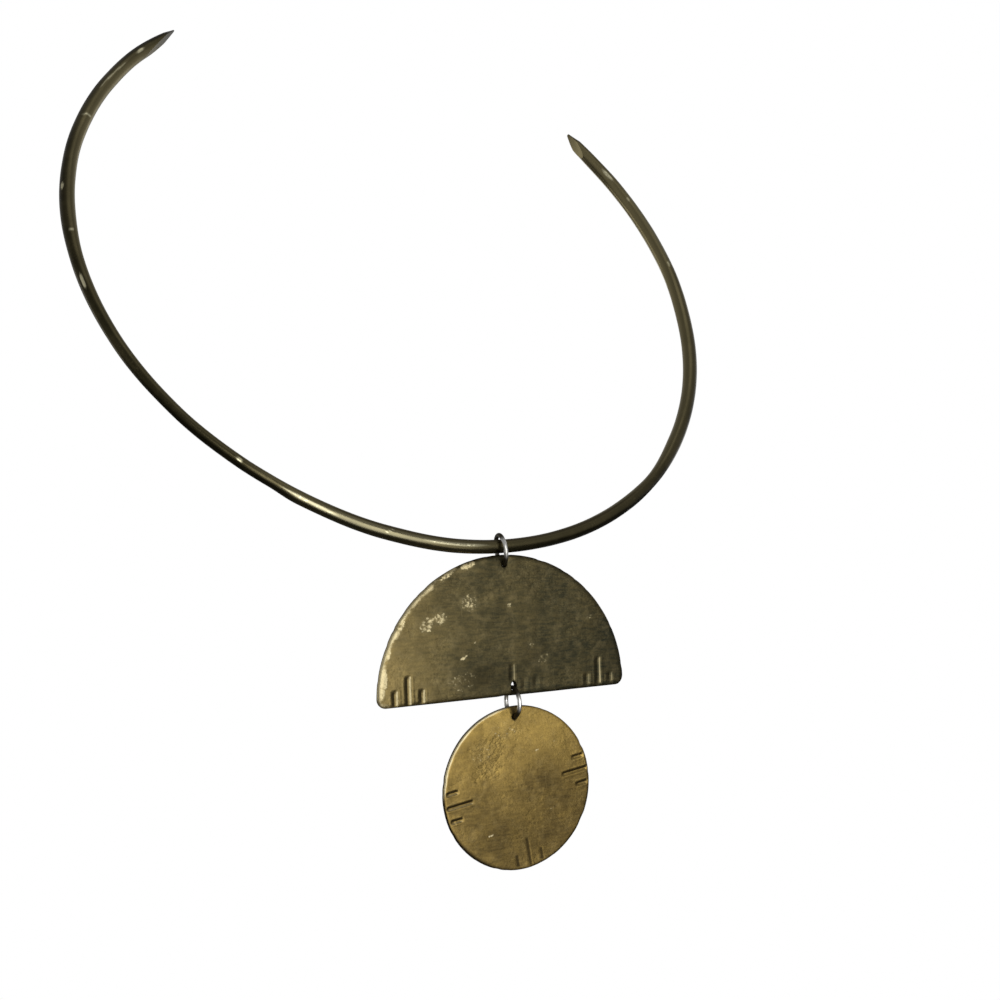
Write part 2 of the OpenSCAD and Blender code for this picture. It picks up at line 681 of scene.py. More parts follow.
@dataclass(frozen=True)
class BrassFinish:
    """Tarnished brass: its colours from dark to a bright of wear and painted highlight, and how it catches
    the light.

    The width of the rim and the height of the relief are in millimetres. All else is a colour, a share
    or the scale of a pattern.
    """

    name: str
    dark: Colour
    middle: Colour
    golden: Colour
    # Colour of rubbed wear and of the painted highlights
    worn: Colour
    roughness: float
    wear_and_highlight_roughness: float
    mottle_scale: float
    dents: float
    grain: float
    pits: float
    rim_width: float
    rim_break: float
    scratch_amount: float
    streak_share: float
    # Share of the brightness taken from its layer, which holds painted light
    tone_share: float
    # Shares of sooty darkness with painted shade on each mark's shaded flank, and of painted highlight on
    # its lit flank
    mark_dirt_and_shade: float
    mark_painted_highlight: float
    # Share of the wear and highlight layer that brightens smoothly: a glow round the wear, and the rod's
    # smooth painted highlight
    soft_wear_and_highlight: float
    spot_share: float
    spot_fineness: float = 5.0
    # Dark colour of sooty stains and painted shade
    soot_and_shade: Colour = (0.030, 0.022, 0.010)
    soot_and_shade_roughness: float = 0.7
    roughness_play: float = 0.05
    line_depth: float = 0.12
    relief_strength: float = 0.7
    relief_height: float = 0.1

    def build(self, effects: Effects) -> bpy.types.Material:
        """Builds the material.

        Args:
            effects: The shared node groups.

        Returns:
            The finished material.
        """
        material, tree, shader = start_metal(self.name)
        cloud = place_group(tree, effects.mottle, Scale=self.mottle_scale, Low=0.3, High=0.7)
        scratches = place_group(tree, effects.scratches, Amount=self.scratch_amount)
        streaks = place_group(tree, effects.streaks)
        mottle = blend(tree, Blend.VALUES, self.streak_share, cloud, streaks)
        bright = self.wear_and_highlight_mask(tree, effects)
        dirt_and_shade = self.dirt_and_shade_mask(tree)
        base = self.tarnish(tree, effects, mottle, scratches)
        # Wear and painted highlights lift the colour towards the bright one
        base = blend(tree, Blend.COLOURS, bright, base, self.worn)
        # Stains and painted shade darken it
        feed(tree, blend(tree, Blend.COLOURS, dirt_and_shade, base, self.soot_and_shade), shader.inputs["Base Color"])
        ends = (self.roughness + self.roughness_play, self.roughness - self.roughness_play)
        rough = spread(tree, cloud, low=0.0, high=1.0, to=ends)
        rough = blend(tree, Blend.VALUES, bright, rough, self.wear_and_highlight_roughness)
        feed(tree, blend(tree, Blend.VALUES, dirt_and_shade, rough, self.soot_and_shade_roughness), shader.inputs["Roughness"])
        feed(tree, self.bumps(tree, effects, scratches, streaks), shader.inputs["Normal"])
        return material

    def tarnish(self, tree: Tree, effects: Effects, mottle: Socket, scratches: Socket) -> Socket:
        """Mixes the tarnished colour, with painted light and shade in its brightness, that lies below the
        wear, the painted highlights, the stains and the painted shade.

        Args:
            tree: The material's tree.
            effects: The shared node groups.
            mottle: How the tarnish comes and goes.
            scratches: The mask of the fine scratches.

        Returns:
            The colour's socket.
        """
        # Painted light: the brightness layer lightens lit places and darkens shaded ones
        level = blend(tree, Blend.VALUES, self.tone_share, mottle, layer(tree, Layer.TONE))
        base = blend(tree, Blend.COLOURS, level, self.dark, self.middle)
        fine = self.spot_fineness * self.mottle_scale
        spots = place_group(tree, effects.mottle, Scale=fine, Low=0.45, High=0.7)
        spots = combine(tree, "MULTIPLY", spots, self.spot_share)
        golden = combine(tree, "MAXIMUM", spots, scratches, clamp=True)
        return blend(tree, Blend.COLOURS, golden, base, self.golden)

    def wear_and_highlight_mask(self, tree: Tree, effects: Effects) -> Socket:
        """Gathers what is painted bright: the rims on the lit side, rubbed and in painted highlight, the
        rubbed patches, the painted highlights and glints, and each mark's lit flank as a painted highlight.

        Args:
            tree: The material's tree.
            effects: The shared node groups.

        Returns:
            The mask's socket.
        """
        rim = place_group(tree, effects.rim_wear_and_highlight, Width=self.rim_width, Break=self.rim_break)
        specks = place_group(tree, effects.specks)
        soft_wear_and_highlight = combine(tree, "MULTIPLY", layer(tree, Layer.WORN), self.soft_wear_and_highlight)
        bright = combine(tree, "MAXIMUM", combine(tree, "MAXIMUM", rim, specks), soft_wear_and_highlight, clamp=True)
        flanks = spread(tree, layer(tree, Layer.MARK), low=-0.15, high=-0.8, to=(0.0, self.mark_painted_highlight))
        return combine(tree, "MAXIMUM", bright, flanks)

    def dirt_and_shade_mask(self, tree: Tree) -> Socket:
        """Gathers what is painted dark: each mark's shaded flank, sooty and in painted shade, the painted
        shadow by the holes, the dark outline on the rim, the rod's painted shade and the stains.

        Args:
            tree: The material's tree.

        Returns:
            The mask's socket.
        """
        flanks = spread(tree, layer(tree, Layer.MARK), low=0.1, high=1.0, to=(0.0, self.mark_dirt_and_shade))
        grime = spread(tree, layer(tree, Layer.GRIME), low=0.1, high=0.9)
        return combine(tree, "MAXIMUM", flanks, grime, clamp=True)

    def bumps(self, tree: Tree, effects: Effects, scratches: Socket, streaks: Socket) -> Socket:
        """Turns the relief, the scratches and the brushed streaks into a normal.

        Args:
            tree: The material's tree.
            effects: The shared node groups.
            scratches: The mask of the fine scratches.
            streaks: The level of the brushed streaks.

        Returns:
            The normal's socket.
        """
        relief = place_group(tree, effects.relief, Dents=self.dents, Grain=self.grain, Pits=self.pits)
        cut = combine(tree, "MULTIPLY", scratches, -self.line_depth)
        brushed = combine(tree, "MULTIPLY", streaks, self.line_depth * self.streak_share)
        height = combine(tree, "ADD", combine(tree, "ADD", relief, cut), brushed)
        bump = add_node(tree, "ShaderNodeBump")
        bump.inputs["Strength"].default_value = self.relief_strength
        bump.inputs["Distance"].default_value = self.relief_height * MM
        feed(tree, height, bump.inputs["Height"])
        return bump.outputs["Normal"]


@dataclass(frozen=True)
class WireFinish:
    """Steel wire, a little scuffed and dulled in patches, and dark where its layer says, dirty there and in
    painted shade.
    """

    name: str
    colour: Colour
    dulled: Colour
    # Dark colour of dirty patches and painted shade
    grime: Colour
    roughness: float
    roughness_play: float = 0.15
    grime_and_shade_roughness: float = 0.6

    def build(self, effects: Effects) -> bpy.types.Material:
        """Builds the material.

        Args:
            effects: The shared node groups.

        Returns:
            The finished material.
        """
        material, tree, shader = start_metal(self.name)
        cloud = place_group(tree, effects.mottle, Scale=700.0, Low=0.4, High=0.7)
        grime = spread(tree, layer(tree, Layer.GRIME), low=0.2, high=0.9)
        base = blend(tree, Blend.COLOURS, cloud, self.colour, self.dulled)
        feed(tree, blend(tree, Blend.COLOURS, grime, base, self.grime), shader.inputs["Base Color"])
        ends = (self.roughness, self.roughness + self.roughness_play)
        rough = spread(tree, cloud, low=0.0, high=1.0, to=ends)
        feed(tree, blend(tree, Blend.VALUES, grime, rough, self.grime_and_shade_roughness), shader.inputs["Roughness"])
        return material


def set_out(name: str, bm: BMesh, material: bpy.types.Material) -> bpy.types.Object:
    """Turns a mesh into an object of the scene and frees its working copy.

    Args:
        name: Name of the object.
        bm: The finished mesh.
        material: The object's finish.

    Returns:
        The object.
    """
    mesh = bpy.data.meshes.new(name)
    bm.to_mesh(mesh)
    bm.free()
    mesh.materials.append(material)
    made = bpy.data.objects.new(name, mesh)
    bpy.context.scene.collection.objects.link(made)
    return made


@dataclass
class Piece:
    """One finished piece, which stands for the solid of its node."""

    name: str
    node: str
    body: str
    slot: str

    def shape(self) -> BMesh:
        """Builds the piece's mesh in the shared frame."""
        raise NotImplementedError

    def make(self, material: bpy.types.Material) -> bpy.types.Object:
        """Turns the mesh into an object, dresses it and lets it ride on its body.

        Faces with more than four sides are flat cuts, so they alone stay flat in the shading.

        Args:
            material: The piece's finish.

        Returns:
            The finished object.
        """
        bm = self.shape()
        for face in bm.faces:
            face.smooth = len(face.verts) <= QUAD
        loose = sum(1 for edge in bm.edges if not edge.is_manifold)
        volume = bm.calc_volume(signed=True) / MM**3
        made = set_out(self.name, bm, material)
        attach(made, self.body)
        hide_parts(self.node)
        LOG.info(
            "%s: %d faces, %d open edges, %.1f mm3, box off by %.2f mm",
            self.name, len(made.data.polygons), loose, volume, self.box_gap(made),
        )
        return made

    def box_gap(self, made: bpy.types.Object) -> float:
        """Measures how far the piece's box departs from its solid's.

        Args:
            made: The finished object.

        Returns:
            The largest difference on any side, in millimetres.
        """
        low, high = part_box(self.node)
        points = [v.co for v in made.data.vertices]
        gaps = []
        for axis in range(3):
            values = [p[axis] for p in points]
            gaps += [abs(min(values) - low[axis]), abs(max(values) - high[axis])]
        return max(gaps) / MM


def value_layer(bm: BMesh, name: Layer) -> bmesh.types.BMLayerItem:
    """Finds or makes a layer of one value at each point."""
    return bm.verts.layers.float.get(name.value) or bm.verts.layers.float.new(name.value)


@dataclass(frozen=True)
class Section:
    """The round section of a rod or wire, in millimetres."""

    radius: float
    sides: int

    def bend(self, bm: BMesh, start: Vector, begin: float, turn: float, axis: Axis, steps: int) -> None:
        """Sweeps the section about the origin into an open arc.

        Args:
            bm: The empty mesh.
            start: The section's middle before it is turned to where the arc begins.
            begin: Angle at which the arc begins, in radians.
            turn: Angle of the whole arc, in radians.
            axis: The axis of the bend.
            steps: How many lengths the arc is made of.
        """
        verts = bmesh.ops.create_circle(bm, segments=self.sides, radius=self.radius, cap_ends=False)["verts"]
        bmesh.ops.rotate(bm, verts=verts, matrix=Matrix.Rotation(math.pi / 2, 3, "X"))
        bmesh.ops.translate(bm, verts=verts, vec=start)
        bmesh.ops.rotate(bm, verts=verts, matrix=Matrix.Rotation(begin, 3, axis.name))
        whole = bm.verts[:] + bm.edges[:]
        bmesh.ops.spin(bm, geom=whole, cent=(0, 0, 0), axis=axis.value, angle=turn, steps=steps)
        bmesh.ops.remove_doubles(bm, verts=bm.verts, dist=WELD)


@dataclass(frozen=True)
class RodPlace:
    """How the rod is at one angle round the ring: its thickness, its bend outwards and its painted light.

    The thickness is a share of the rod's own and the bend is in millimetres; a place with a painted
    highlight has high painted light, and one in painted shade has low.
    """

    angle: float
    thickness: float
    outward: float
    tone: float

    def blend(self, other: "RodPlace", share: float) -> "RodPlace":
        """Gives the place between this one and another, by the other's share."""
        mixed = ((1 - share) * a + share * b for a, b in zip(astuple(self), astuple(other)))
        return RodPlace(*mixed)


# Columns: angle, thickness, bend outwards and painted light, high for a painted highlight and low for
# painted shade
ROD_PLACES = (
    RodPlace(-150.0, 1.00, 0.00, -0.35),
    RodPlace(-138.0, 1.07, 0.02, -0.10),
    RodPlace(-128.0, 1.10, -0.25, 0.20),
    RodPlace(-118.0, 1.10, -0.27, 0.20),
    RodPlace(-108.0, 1.07, -0.12, 0.00),
    RodPlace(-97.0, 1.09, -0.02, 0.00),
    RodPlace(-86.0, 0.94, 0.03, -0.05),
    RodPlace(-70.0, 0.87, -0.02, -0.20),
    RodPlace(-56.0, 0.82, -0.22, -0.25),
    RodPlace(-44.0, 0.82, -0.45, -0.35),
    RodPlace(-39.0, 0.82, -0.50, 0.00),
    RodPlace(-34.0, 0.95, -0.28, 0.35),
    RodPlace(-20.0, 1.02, 0.04, 0.30),
    RodPlace(-8.0, 1.00, 0.34, 0.45),
    RodPlace(6.0, 0.975, 0.26, 0.20),
    RodPlace(14.0, 1.02, 0.24, 0.10),
    RodPlace(28.0, 1.03, 0.17, 0.00),
    RodPlace(36.0, 0.96, 0.20, -0.10),
    RodPlace(48.0, 1.14, -0.05, -0.10),
    RodPlace(68.0, 1.17, 0.08, 0.10),
    RodPlace(80.0, 1.18, 0.05, 0.20),
    RodPlace(90.0, 1.16, 0.26, 0.30),
    RodPlace(98.0, 1.15, 0.18, 0.40),
    RodPlace(112.0, 1.15, 0.06, 0.55),
    RodPlace(118.0, 1.12, -0.06, 0.60),
    RodPlace(127.0, 0.95, 0.25, 0.20),
)


@dataclass
class CollarRod(Piece):
    """The sprung rod of the collar, an open circle with both ends cut to long points.

    Angles round the ring are in degrees from its lowest point, below 0 on the long arm.
    """

    ring_radius: float
    slope: float
    wear_and_highlight_spots: tuple[Spot, ...]
    painted_shade_spots: tuple[Spot, ...]
    section: Section = Section(radius=1.25, sides=44)
    arm_angles: dict[Side, float] = field(default_factory=lambda: {Side.LONG: 148.0, Side.SHORT: 126.0})
    cut_lengths: dict[Side, float] = field(default_factory=lambda: {Side.LONG: 10.6, Side.SHORT: 6.0})
    places: tuple[RodPlace, ...] = ROD_PLACES
    step: float = 0.45
    flat_depth: float = 0.018
    facet_depth: float = 0.008
    tip_blunt: float = 0.3
    tip_taper: float = 3.2
    tip_height: float = 0.22
    tip_curve: float = 0.8
    cut_stretch: float = 2.0
    cut_ease: float = 0.12
    cut_rim: float = 0.25
    # Painted light round the rod: darker on the ring's outer side, lighter on its inner side, and a painted
    # reflection along the outer edge
    middle_tone: float = 0.5
    painted_shading_across: float = 0.75
    painted_edge_reflection: float = 0.35
    edge_reflection_half: float = 0.35

    def shape(self) -> BMesh:
        """Sweeps the rod round, varies its thickness and cuts its ends.

        Returns:
            The rod's mesh in the shared frame.
        """
        bm = bmesh.new()
        begin = math.radians(-90 - self.arm_angles[Side.LONG])
        turn = math.radians(sum(self.arm_angles.values()))
        steps = round(turn * self.ring_radius / self.step)
        self.section.bend(bm, Vector((self.ring_radius, 0, 0)), begin, turn, Axis.Z, steps)
        for side in Side:
            ends = [e for e in bm.edges if e.is_boundary and side.value * self.angle_of(e.verts[0].co) > 0]
            bmesh.ops.contextual_create(bm, geom=ends)
        bmesh.ops.recalc_face_normals(bm, faces=bm.faces)
        self.vary_thickness(bm)
        for side in Side:
            self.cut_end(bm, side)
        self.write_layers(bm)
        self.sharpen_tips(bm)
        bmesh.ops.rotate(bm, verts=bm.verts, matrix=Matrix.Rotation(self.slope, 3, "X"))
        bmesh.ops.scale(bm, verts=bm.verts, vec=(MM, MM, MM))
        return bm

    def angle_of(self, co: Vector) -> float:
        """Gives the angle round the ring from its lowest point, in degrees."""
        return math.degrees(math.atan2(co.x, -co.y))

    def place_at(self, angle: float) -> RodPlace:
        """Works out how the rod is at an angle, smoothly between its known places.

        Args:
            angle: Angle round the ring from its lowest point, in degrees.

        Returns:
            The rod's place there.
        """
        last = self.places[0]
        for here in self.places[1:]:
            if angle <= here.angle:
                t = max(0.0, (angle - last.angle) / (here.angle - last.angle))
                return last.blend(here, t * t * (3 - 2 * t))
            last = here
        return last

    def to_tip(self, angle: float) -> float:
        """Gives the length of rod from an angle to the nearer tip, in millimetres."""
        side = Side.LONG if angle < 0 else Side.SHORT
        return max(0.0, math.radians(self.arm_angles[side] - abs(angle)) * self.ring_radius)

    def section_place(self, co: Vector) -> tuple[Vector, Vector, float]:
        """Finds a point's place on the rod.

        Args:
            co: The point, with the ring lying level.

        Returns:
            The rod's middle there, the point's place from it, and its angle round the rod, which is 0 on
            the ring's outside and a quarter turn on its upper side.
        """
        radial = Vector((co.x, co.y, 0)).normalized()
        middle = radial * self.ring_radius
        off = co - middle
        return middle, off, math.atan2(off.z, off.dot(radial))

    def uneven(self, length: float, phase: float, run: float, busy: float, shift: float = 0.0) -> float:
        """Gives an uneven value from about -1 to 1 on the rod, by its run along it and how busy it is."""
        return noise.noise(Vector((length / run, busy * math.cos(phase), busy * math.sin(phase) + shift)))

    def vary_thickness(self, bm: BMesh) -> None:
        """Gives the rod its drawn thickness, its hand-bent course and its faint flats.

        Args:
            bm: The rod's mesh, lying level.
        """
        for vert in bm.verts:
            angle = self.angle_of(vert.co)
            middle, off, phase = self.section_place(vert.co)
            length = math.radians(angle) * self.ring_radius
            flat = self.uneven(length, phase, run=9, busy=1.1)
            facet = self.uneven(length, phase, run=3.5, busy=1.8, shift=7)
            place = self.place_at(angle)
            share = place.thickness * (1 + self.flat_depth * flat + self.facet_depth * facet)
            vert.co = middle * (1 + place.outward / self.ring_radius) + off * share

    def sharpen_tips(self, bm: BMesh) -> None:
        """Narrows the rod's last stretch towards each tip, so that it ends in a point.

        Args:
            bm: The rod's mesh, lying level.
        """
        for vert in bm.verts:
            share = self.to_tip(self.angle_of(vert.co)) / self.tip_taper
            if share < 1:
                vert.co.z *= self.tip_height + (1 - self.tip_height) * share**self.tip_curve

    def on_ring(self, side: Side, angle: float, outward: float) -> Vector:
        """Gives a point in the ring's level plane, by its arm, its angle in radians and its way outwards."""
        radius = self.ring_radius + outward
        return Vector((side.value * radius * math.sin(angle), -radius * math.cos(angle), 0))

    def cut_end(self, bm: BMesh, side: Side) -> None:
        """Takes the inner side off one arm's end in one slanting stroke.

        Args:
            bm: The rod's mesh, lying level.
            side: The arm to cut.
        """
        arm = math.radians(self.arm_angles[side])
        cut = self.cut_lengths[side] / self.ring_radius
        heel = self.on_ring(side, arm - cut, -self.section.radius)
        tip = self.on_ring(side, arm, self.section.radius - self.tip_blunt)
        inward = (tip - heel).cross(Vector((0, 0, 1)))
        if inward.dot(heel) > 0:
            inward.negate()
        reach = math.degrees(arm - self.cut_stretch * cut)
        near = {v for v in bm.verts if side.value * self.angle_of(v.co) > reach}
        edges = [e for e in bm.edges if e.verts[0] in near and e.verts[1] in near]
        faces = [f for f in bm.faces if all(v in near for v in f.verts)]
        made = bmesh.ops.bisect_plane(
            bm, geom=[*near, *edges, *faces], dist=CUT_SNAP, plane_co=heel, plane_no=inward, clear_outer=True
        )
        rim = [g for g in made["geom_cut"] if isinstance(g, BMEdge)]
        flat = bmesh.ops.contextual_create(bm, geom=rim)["faces"]
        bmesh.ops.recalc_face_normals(bm, faces=bm.faces)
        sharp = {e for f in flat for e in f.edges}
        bmesh.ops.bevel(
            bm, geom=list(sharp), offset=self.cut_ease, segments=2, profile=0.5, affect="EDGES", material=-1,
            clamp_overlap=True,
        )

    def write_layers(self, bm: BMesh) -> None:
        """Writes how near each point is to a cut end, its wear and painted highlights, its painted light and
        its painted shade.

        The rod is painted lighter on the ring's inner side and darker on its outer side, as the light falls,
        with a painted reflection along the outer edge and the painted highlights and shade of its places.
        Its spots lie by the length along the rod and the distance round it from the ring's outer side.

        Args:
            bm: The rod's mesh, lying level.
        """
        rim, mark, worn, tone, grime, pitted = (value_layer(bm, name) for name in Layer)
        for vert in bm.verts:
            angle = self.angle_of(vert.co)
            phase = self.section_place(vert.co)[2]
            along, around = math.radians(angle) * self.ring_radius, phase * self.section.radius
            vert[rim] = min(FAR_FROM_RIM, self.cut_rim + self.to_tip(angle))
            vert[mark] = vert[pitted] = 0.0
            # Painted reflection along the outer edge and painted light round the rod
            edge_reflection = self.painted_edge_reflection * max(0.0, 1.0 - abs(phase) / self.edge_reflection_half)
            level = self.middle_tone - self.painted_shading_across * math.cos(phase)
            vert[tone] = limited(level + self.place_at(angle).tone + edge_reflection)
            # Painted highlights and glints, with rubbed scratches
            vert[worn] = strongest(self.wear_and_highlight_spots, along, around)
            # Painted shade along the upper inner edge
            vert[grime] = strongest(self.painted_shade_spots, along, around)


@dataclass
class WireRing(Piece):
    """A jump ring of round wire, bent to a circle whose ends meet in a fine butt joint.

    Each dark span is the angle round the ring at which it is darkest, at the rod and at the holes, dirty
    there and in painted shade, and how far the darkening reaches.
    """

    place: Matrix
    centre: Point
    dark_spans: tuple[Point, ...]
    radius: float = 2.6
    section: Section = Section(radius=0.4, sides=16)
    joint_gap: float = 0.05
    joint_at: float = 35.0
    joint_ease: float = 0.06
    turn: float = 0.0
    lean: float = 0.0
    steps: int = 80

    def shape(self) -> BMesh:
        """Bends the wire round, eases its two ends and hangs the ring in its place.

        Returns:
            The ring's mesh in the shared frame.
        """
        bm = bmesh.new()
        turn = 2 * math.pi - self.joint_gap / self.radius
        begin = math.radians(self.joint_at)
        self.section.bend(bm, Vector((0, 0, -self.radius)), begin, turn, Axis.X, self.steps)
        ends = [e for e in bm.edges if e.is_boundary]
        caps = bmesh.ops.edgenet_fill(bm, edges=ends)["faces"]
        bmesh.ops.recalc_face_normals(bm, faces=bm.faces)
        sharp = {e for f in caps for e in f.edges}
        bmesh.ops.bevel(
            bm, geom=list(sharp), offset=self.joint_ease, segments=2, profile=0.5, affect="EDGES",
            material=-1,
        )
        self.write_grime_and_shade(bm)
        bmesh.ops.rotate(bm, verts=bm.verts, matrix=Matrix.Rotation(math.radians(self.turn), 3, "Y"))
        lean = Matrix.Rotation(math.radians(self.lean), 3, "Z")
        bmesh.ops.rotate(bm, verts=bm.verts, cent=(0, -self.radius, 0), matrix=lean)
        bmesh.ops.translate(bm, verts=bm.verts, vec=(*self.centre, 0))
        bmesh.ops.scale(bm, verts=bm.verts, vec=(MM, MM, MM))
        bmesh.ops.transform(bm, verts=bm.verts, matrix=self.place)
        return bm

    def write_grime_and_shade(self, bm: BMesh) -> None:
        """Writes how dark each point is painted where the ring passes over the rod and through the holes,
        dirty there and in painted shade.

        Args:
            bm: The ring's mesh about its own centre, standing across the plates.
        """
        grime = value_layer(bm, Layer.GRIME)
        for vert in bm.verts:
            angle = math.degrees(math.atan2(vert.co.z, vert.co.y))
            vert[grime] = max(self.darkness(angle, at, reach) for at, reach in self.dark_spans)

    def darkness(self, angle: float, at: float, reach: float) -> float:
        """Gives how dark one dark span makes the ring at an angle, all in degrees."""
        off = abs((angle - at + 180) % 360 - 180)
        return limited(SPOT_EDGE * (1.0 - off / reach))


@dataclass
class Plate(Piece):
    """A cut sheet of brass with eased edges, punched holes and struck marks, drawn in millimetres.

    The rim falls by its drop over its width, and each hole's lip over its reach. A warp, dents and nicks
    make the sheet uneven, each with swells of its own size and calm beside the holes.
    """

    place: Matrix
    thick: float
    holes: tuple[Hole, ...]
    marks: tuple[Mark, ...]
    punch: Punch
    wear_and_highlight_spots: tuple[Spot, ...]
    seed: float
    rim_width: float
    rim_drop: float
    centre: Point
    radius: float
    cell: float = 0.45
    cell_margin: float = 0.45
    grid_turn: float = 0.0
    rim_cuts: int = 1
    rim_cuts_reach: float = 1.2
    mark_cuts: int = 3
    rim_loops: tuple[float, ...] = (0.02, 0.06, 0.13, 0.25, 0.42)
    lip_sides: int = 40
    lip_reach: float = 0.22
    lip_loops: tuple[float, ...] = (0.17, 0.12, 0.08, 0.04, 0.01, 0.0)
    calm_reach: float = 2.0
    edge_half: float = 0.40
    warp: float = 0.10
    warp_size: float = 14.0
    dent: float = 0.035
    dent_size: float = 2.7
    inner_dents: float = 0.4
    rim_dents: float = 1.4
    rim_dents_reach: float = 1.6
    nick: float = 0.14
    nick_size: float = 1.9
    nick_least: float = 0.12
    nick_share: float = 1.6
    nick_reach: float = 0.5
    nick_by_holes: float = 0.2
    wave_size: float = 6.0
    wave_share: float = 0.5
    # The dark outline along the rim, tarnish and painted shade, and its strength on the back
    dark_line: float = 0.17
    dark_line_behind: float = 2.0

    def outline(self, bm: BMesh) -> BMFace:
        """Draws the plate's outline as one face."""
        raise NotImplementedError

    def inset_at(self, x: float, y: float) -> float:
        """Gives how far inside the outline a point lies."""
        raise NotImplementedError

    def tone(self, x: float, y: float) -> float:
        """Gives how bright the plate is painted at a point, with painted light in it, from 0 where it is
        dark to 1.
        """
        raise NotImplementedError

    def rim_out_of_light(self, x: float, y: float) -> float:
        """Gives how far the rim at a point is kept out of the light, in millimetres of extra depth: this
        keeps the rubbed and painted highlight off the rim and darkens its outline of tarnish and painted
        shade.
        """
        raise NotImplementedError

    def stain(self, x: float, y: float) -> float:
        """Gives how strongly a point is stained dark, from 0 to 1."""
        raise NotImplementedError

    def pitted(self, x: float, y: float) -> float:
        """Gives how strongly the surface is pitted at a point."""
        raise NotImplementedError

    def hole_distance(self, x: float, y: float) -> float:
        """Gives the distance from a point to the nearest hole's wall."""
        return min(hole.distance(x, y) for hole in self.holes)

    def swell(self, x: float, y: float, size: float, pattern: Swell) -> float:
        """Gives an uneven value from about -1 to 1 at a point, with swells of a size."""
        return noise.noise(Vector((x / size, y / size, self.seed + pattern.value)))

    def shape(self) -> BMesh:
        """Cuts the sheet, refines it where it is struck, gives it its wall and presses its relief.

        Returns:
            The plate's mesh in the shared frame.
        """
        bm = bmesh.new()
        face = self.outline(bm)
        edge = 0.0
        for loop in self.rim_loops:
            bmesh.ops.inset_individual(bm, faces=[face], thickness=loop - edge, use_even_offset=True)
            edge = loop
        border = list(face.edges)
        bmesh.ops.delete(bm, geom=[face], context="FACES_ONLY")
        for hole in self.holes:
            border += self.hole_ring(bm, hole)
        border += self.middle_grid(bm)
        bmesh.ops.triangle_fill(bm, use_beauty=True, use_dissolve=False, edges=border, normal=(0, 0, 1))
        self.refine(bm)
        bmesh.ops.recalc_face_normals(bm, faces=bm.faces)
        bmesh.ops.solidify(bm, geom=bm.faces[:], thickness=1.0)
        heights = [v.co.z for v in bm.verts]
        split = (min(heights) + max(heights)) / 2
        self.write_layers(bm, split)
        self.press(bm, split)
        if bm.calc_volume(signed=True) < 0:
            bmesh.ops.reverse_faces(bm, faces=bm.faces)
        bmesh.ops.scale(bm, verts=bm.verts, vec=(MM, MM, MM))
        bmesh.ops.transform(bm, verts=bm.verts, matrix=self.place)
        return bm

    def hole_ring(self, bm: BMesh, hole: Hole) -> list[BMEdge]:
        """Draws the eased lip of one hole as rings that narrow towards its wall.

        Args:
            bm: The plate's flat mesh.
            hole: The hole.

        Returns:
            The edges of the widest ring.
        """
        cent = Vector((hole.x, hole.y, 0))
        radius = hole.radius + self.lip_reach
        lean = Matrix.Translation(cent) @ Matrix.Diagonal((hole.lean, 1, 1, 1))
        sides = self.lip_sides
        made = bmesh.ops.create_circle(bm, segments=sides, radius=radius, cap_ends=False, matrix=lean)
        ring = list({e for v in made["verts"] for e in v.link_edges})
        widest = ring
        for loop in self.lip_loops:
            grown = bmesh.ops.extrude_edge_only(bm, edges=ring)["geom"]
            verts = [g for g in grown if isinstance(g, BMVert)]
            ring = [g for g in grown if isinstance(g, BMEdge)]
            share = (hole.radius + loop) / radius
            bmesh.ops.scale(bm, verts=verts, vec=(share, share, 1), space=Matrix.Translation(-cent))
            radius = hole.radius + loop
        return widest

    def middle_grid(self, bm: BMesh) -> list[BMEdge]:
        """Lays an even grid over the plate's middle, clear of its rim and holes.

        Args:
            bm: The plate's flat mesh.

        Returns:
            The edges round the grid.
        """
        count = 2 * math.ceil(self.radius / self.cell) + 2
        half = count * self.cell / 2
        turn = Matrix.Translation((*self.centre, 0)) @ Matrix.Rotation(math.radians(self.grid_turn), 4, "Z")
        grid = bmesh.ops.create_grid(bm, x_segments=count, y_segments=count, size=half, matrix=turn)["verts"]
        margin = self.cell_margin * self.cell
        outside = [
            v
            for v in grid
            if self.inset_at(v.co.x, v.co.y) < self.rim_loops[-1] + margin
            or self.hole_distance(v.co.x, v.co.y) < self.lip_reach + margin
        ]
        kept = set(grid) - set(outside)
        bmesh.ops.delete(bm, geom=outside, context="VERTS")
        lone = [v for v in kept if v.is_valid and not v.link_faces]
        bmesh.ops.delete(bm, geom=lone, context="VERTS")
        kept = {v for v in kept if v.is_valid}
        loose = [e for e in bm.edges if e.verts[0] in kept and not e.link_faces]
        bmesh.ops.delete(bm, geom=loose, context="EDGES")
        return [e for e in bm.edges if e.is_boundary and e.verts[0] in kept and e.verts[1] in kept]

    def refine(self, bm: BMesh) -> None:
        """Splits the faces finer along the rim and, finer still, where marks are struck.

        Args:
            bm: The plate's flat mesh.
        """
        inner = self.rim_loops[-1]
        rim = [e for e in bm.edges if inner < self.inset_at(*self.edge_middle(e)) < self.rim_cuts_reach]
        bmesh.ops.subdivide_edges(bm, edges=rim, cuts=self.rim_cuts, use_grid_fill=True)
        half = self.punch.half_width
        near = [
            e
            for e in bm.edges
            if self.inset_at(*self.edge_middle(e)) > self.rim_loops[1]
            and any(m.is_near(*self.edge_middle(e), half) for m in self.marks)
        ]
        bmesh.ops.subdivide_edges(bm, edges=near, cuts=self.mark_cuts, use_grid_fill=True)
        bmesh.ops.triangulate(bm, faces=[f for f in bm.faces if len(f.verts) > QUAD])

    def edge_middle(self, edge: BMEdge) -> Point:
        """Gives the middle of an edge on the flat plate."""
        a, b = (v.co for v in edge.verts)
        return (a.x + b.x) / 2, (a.y + b.y) / 2

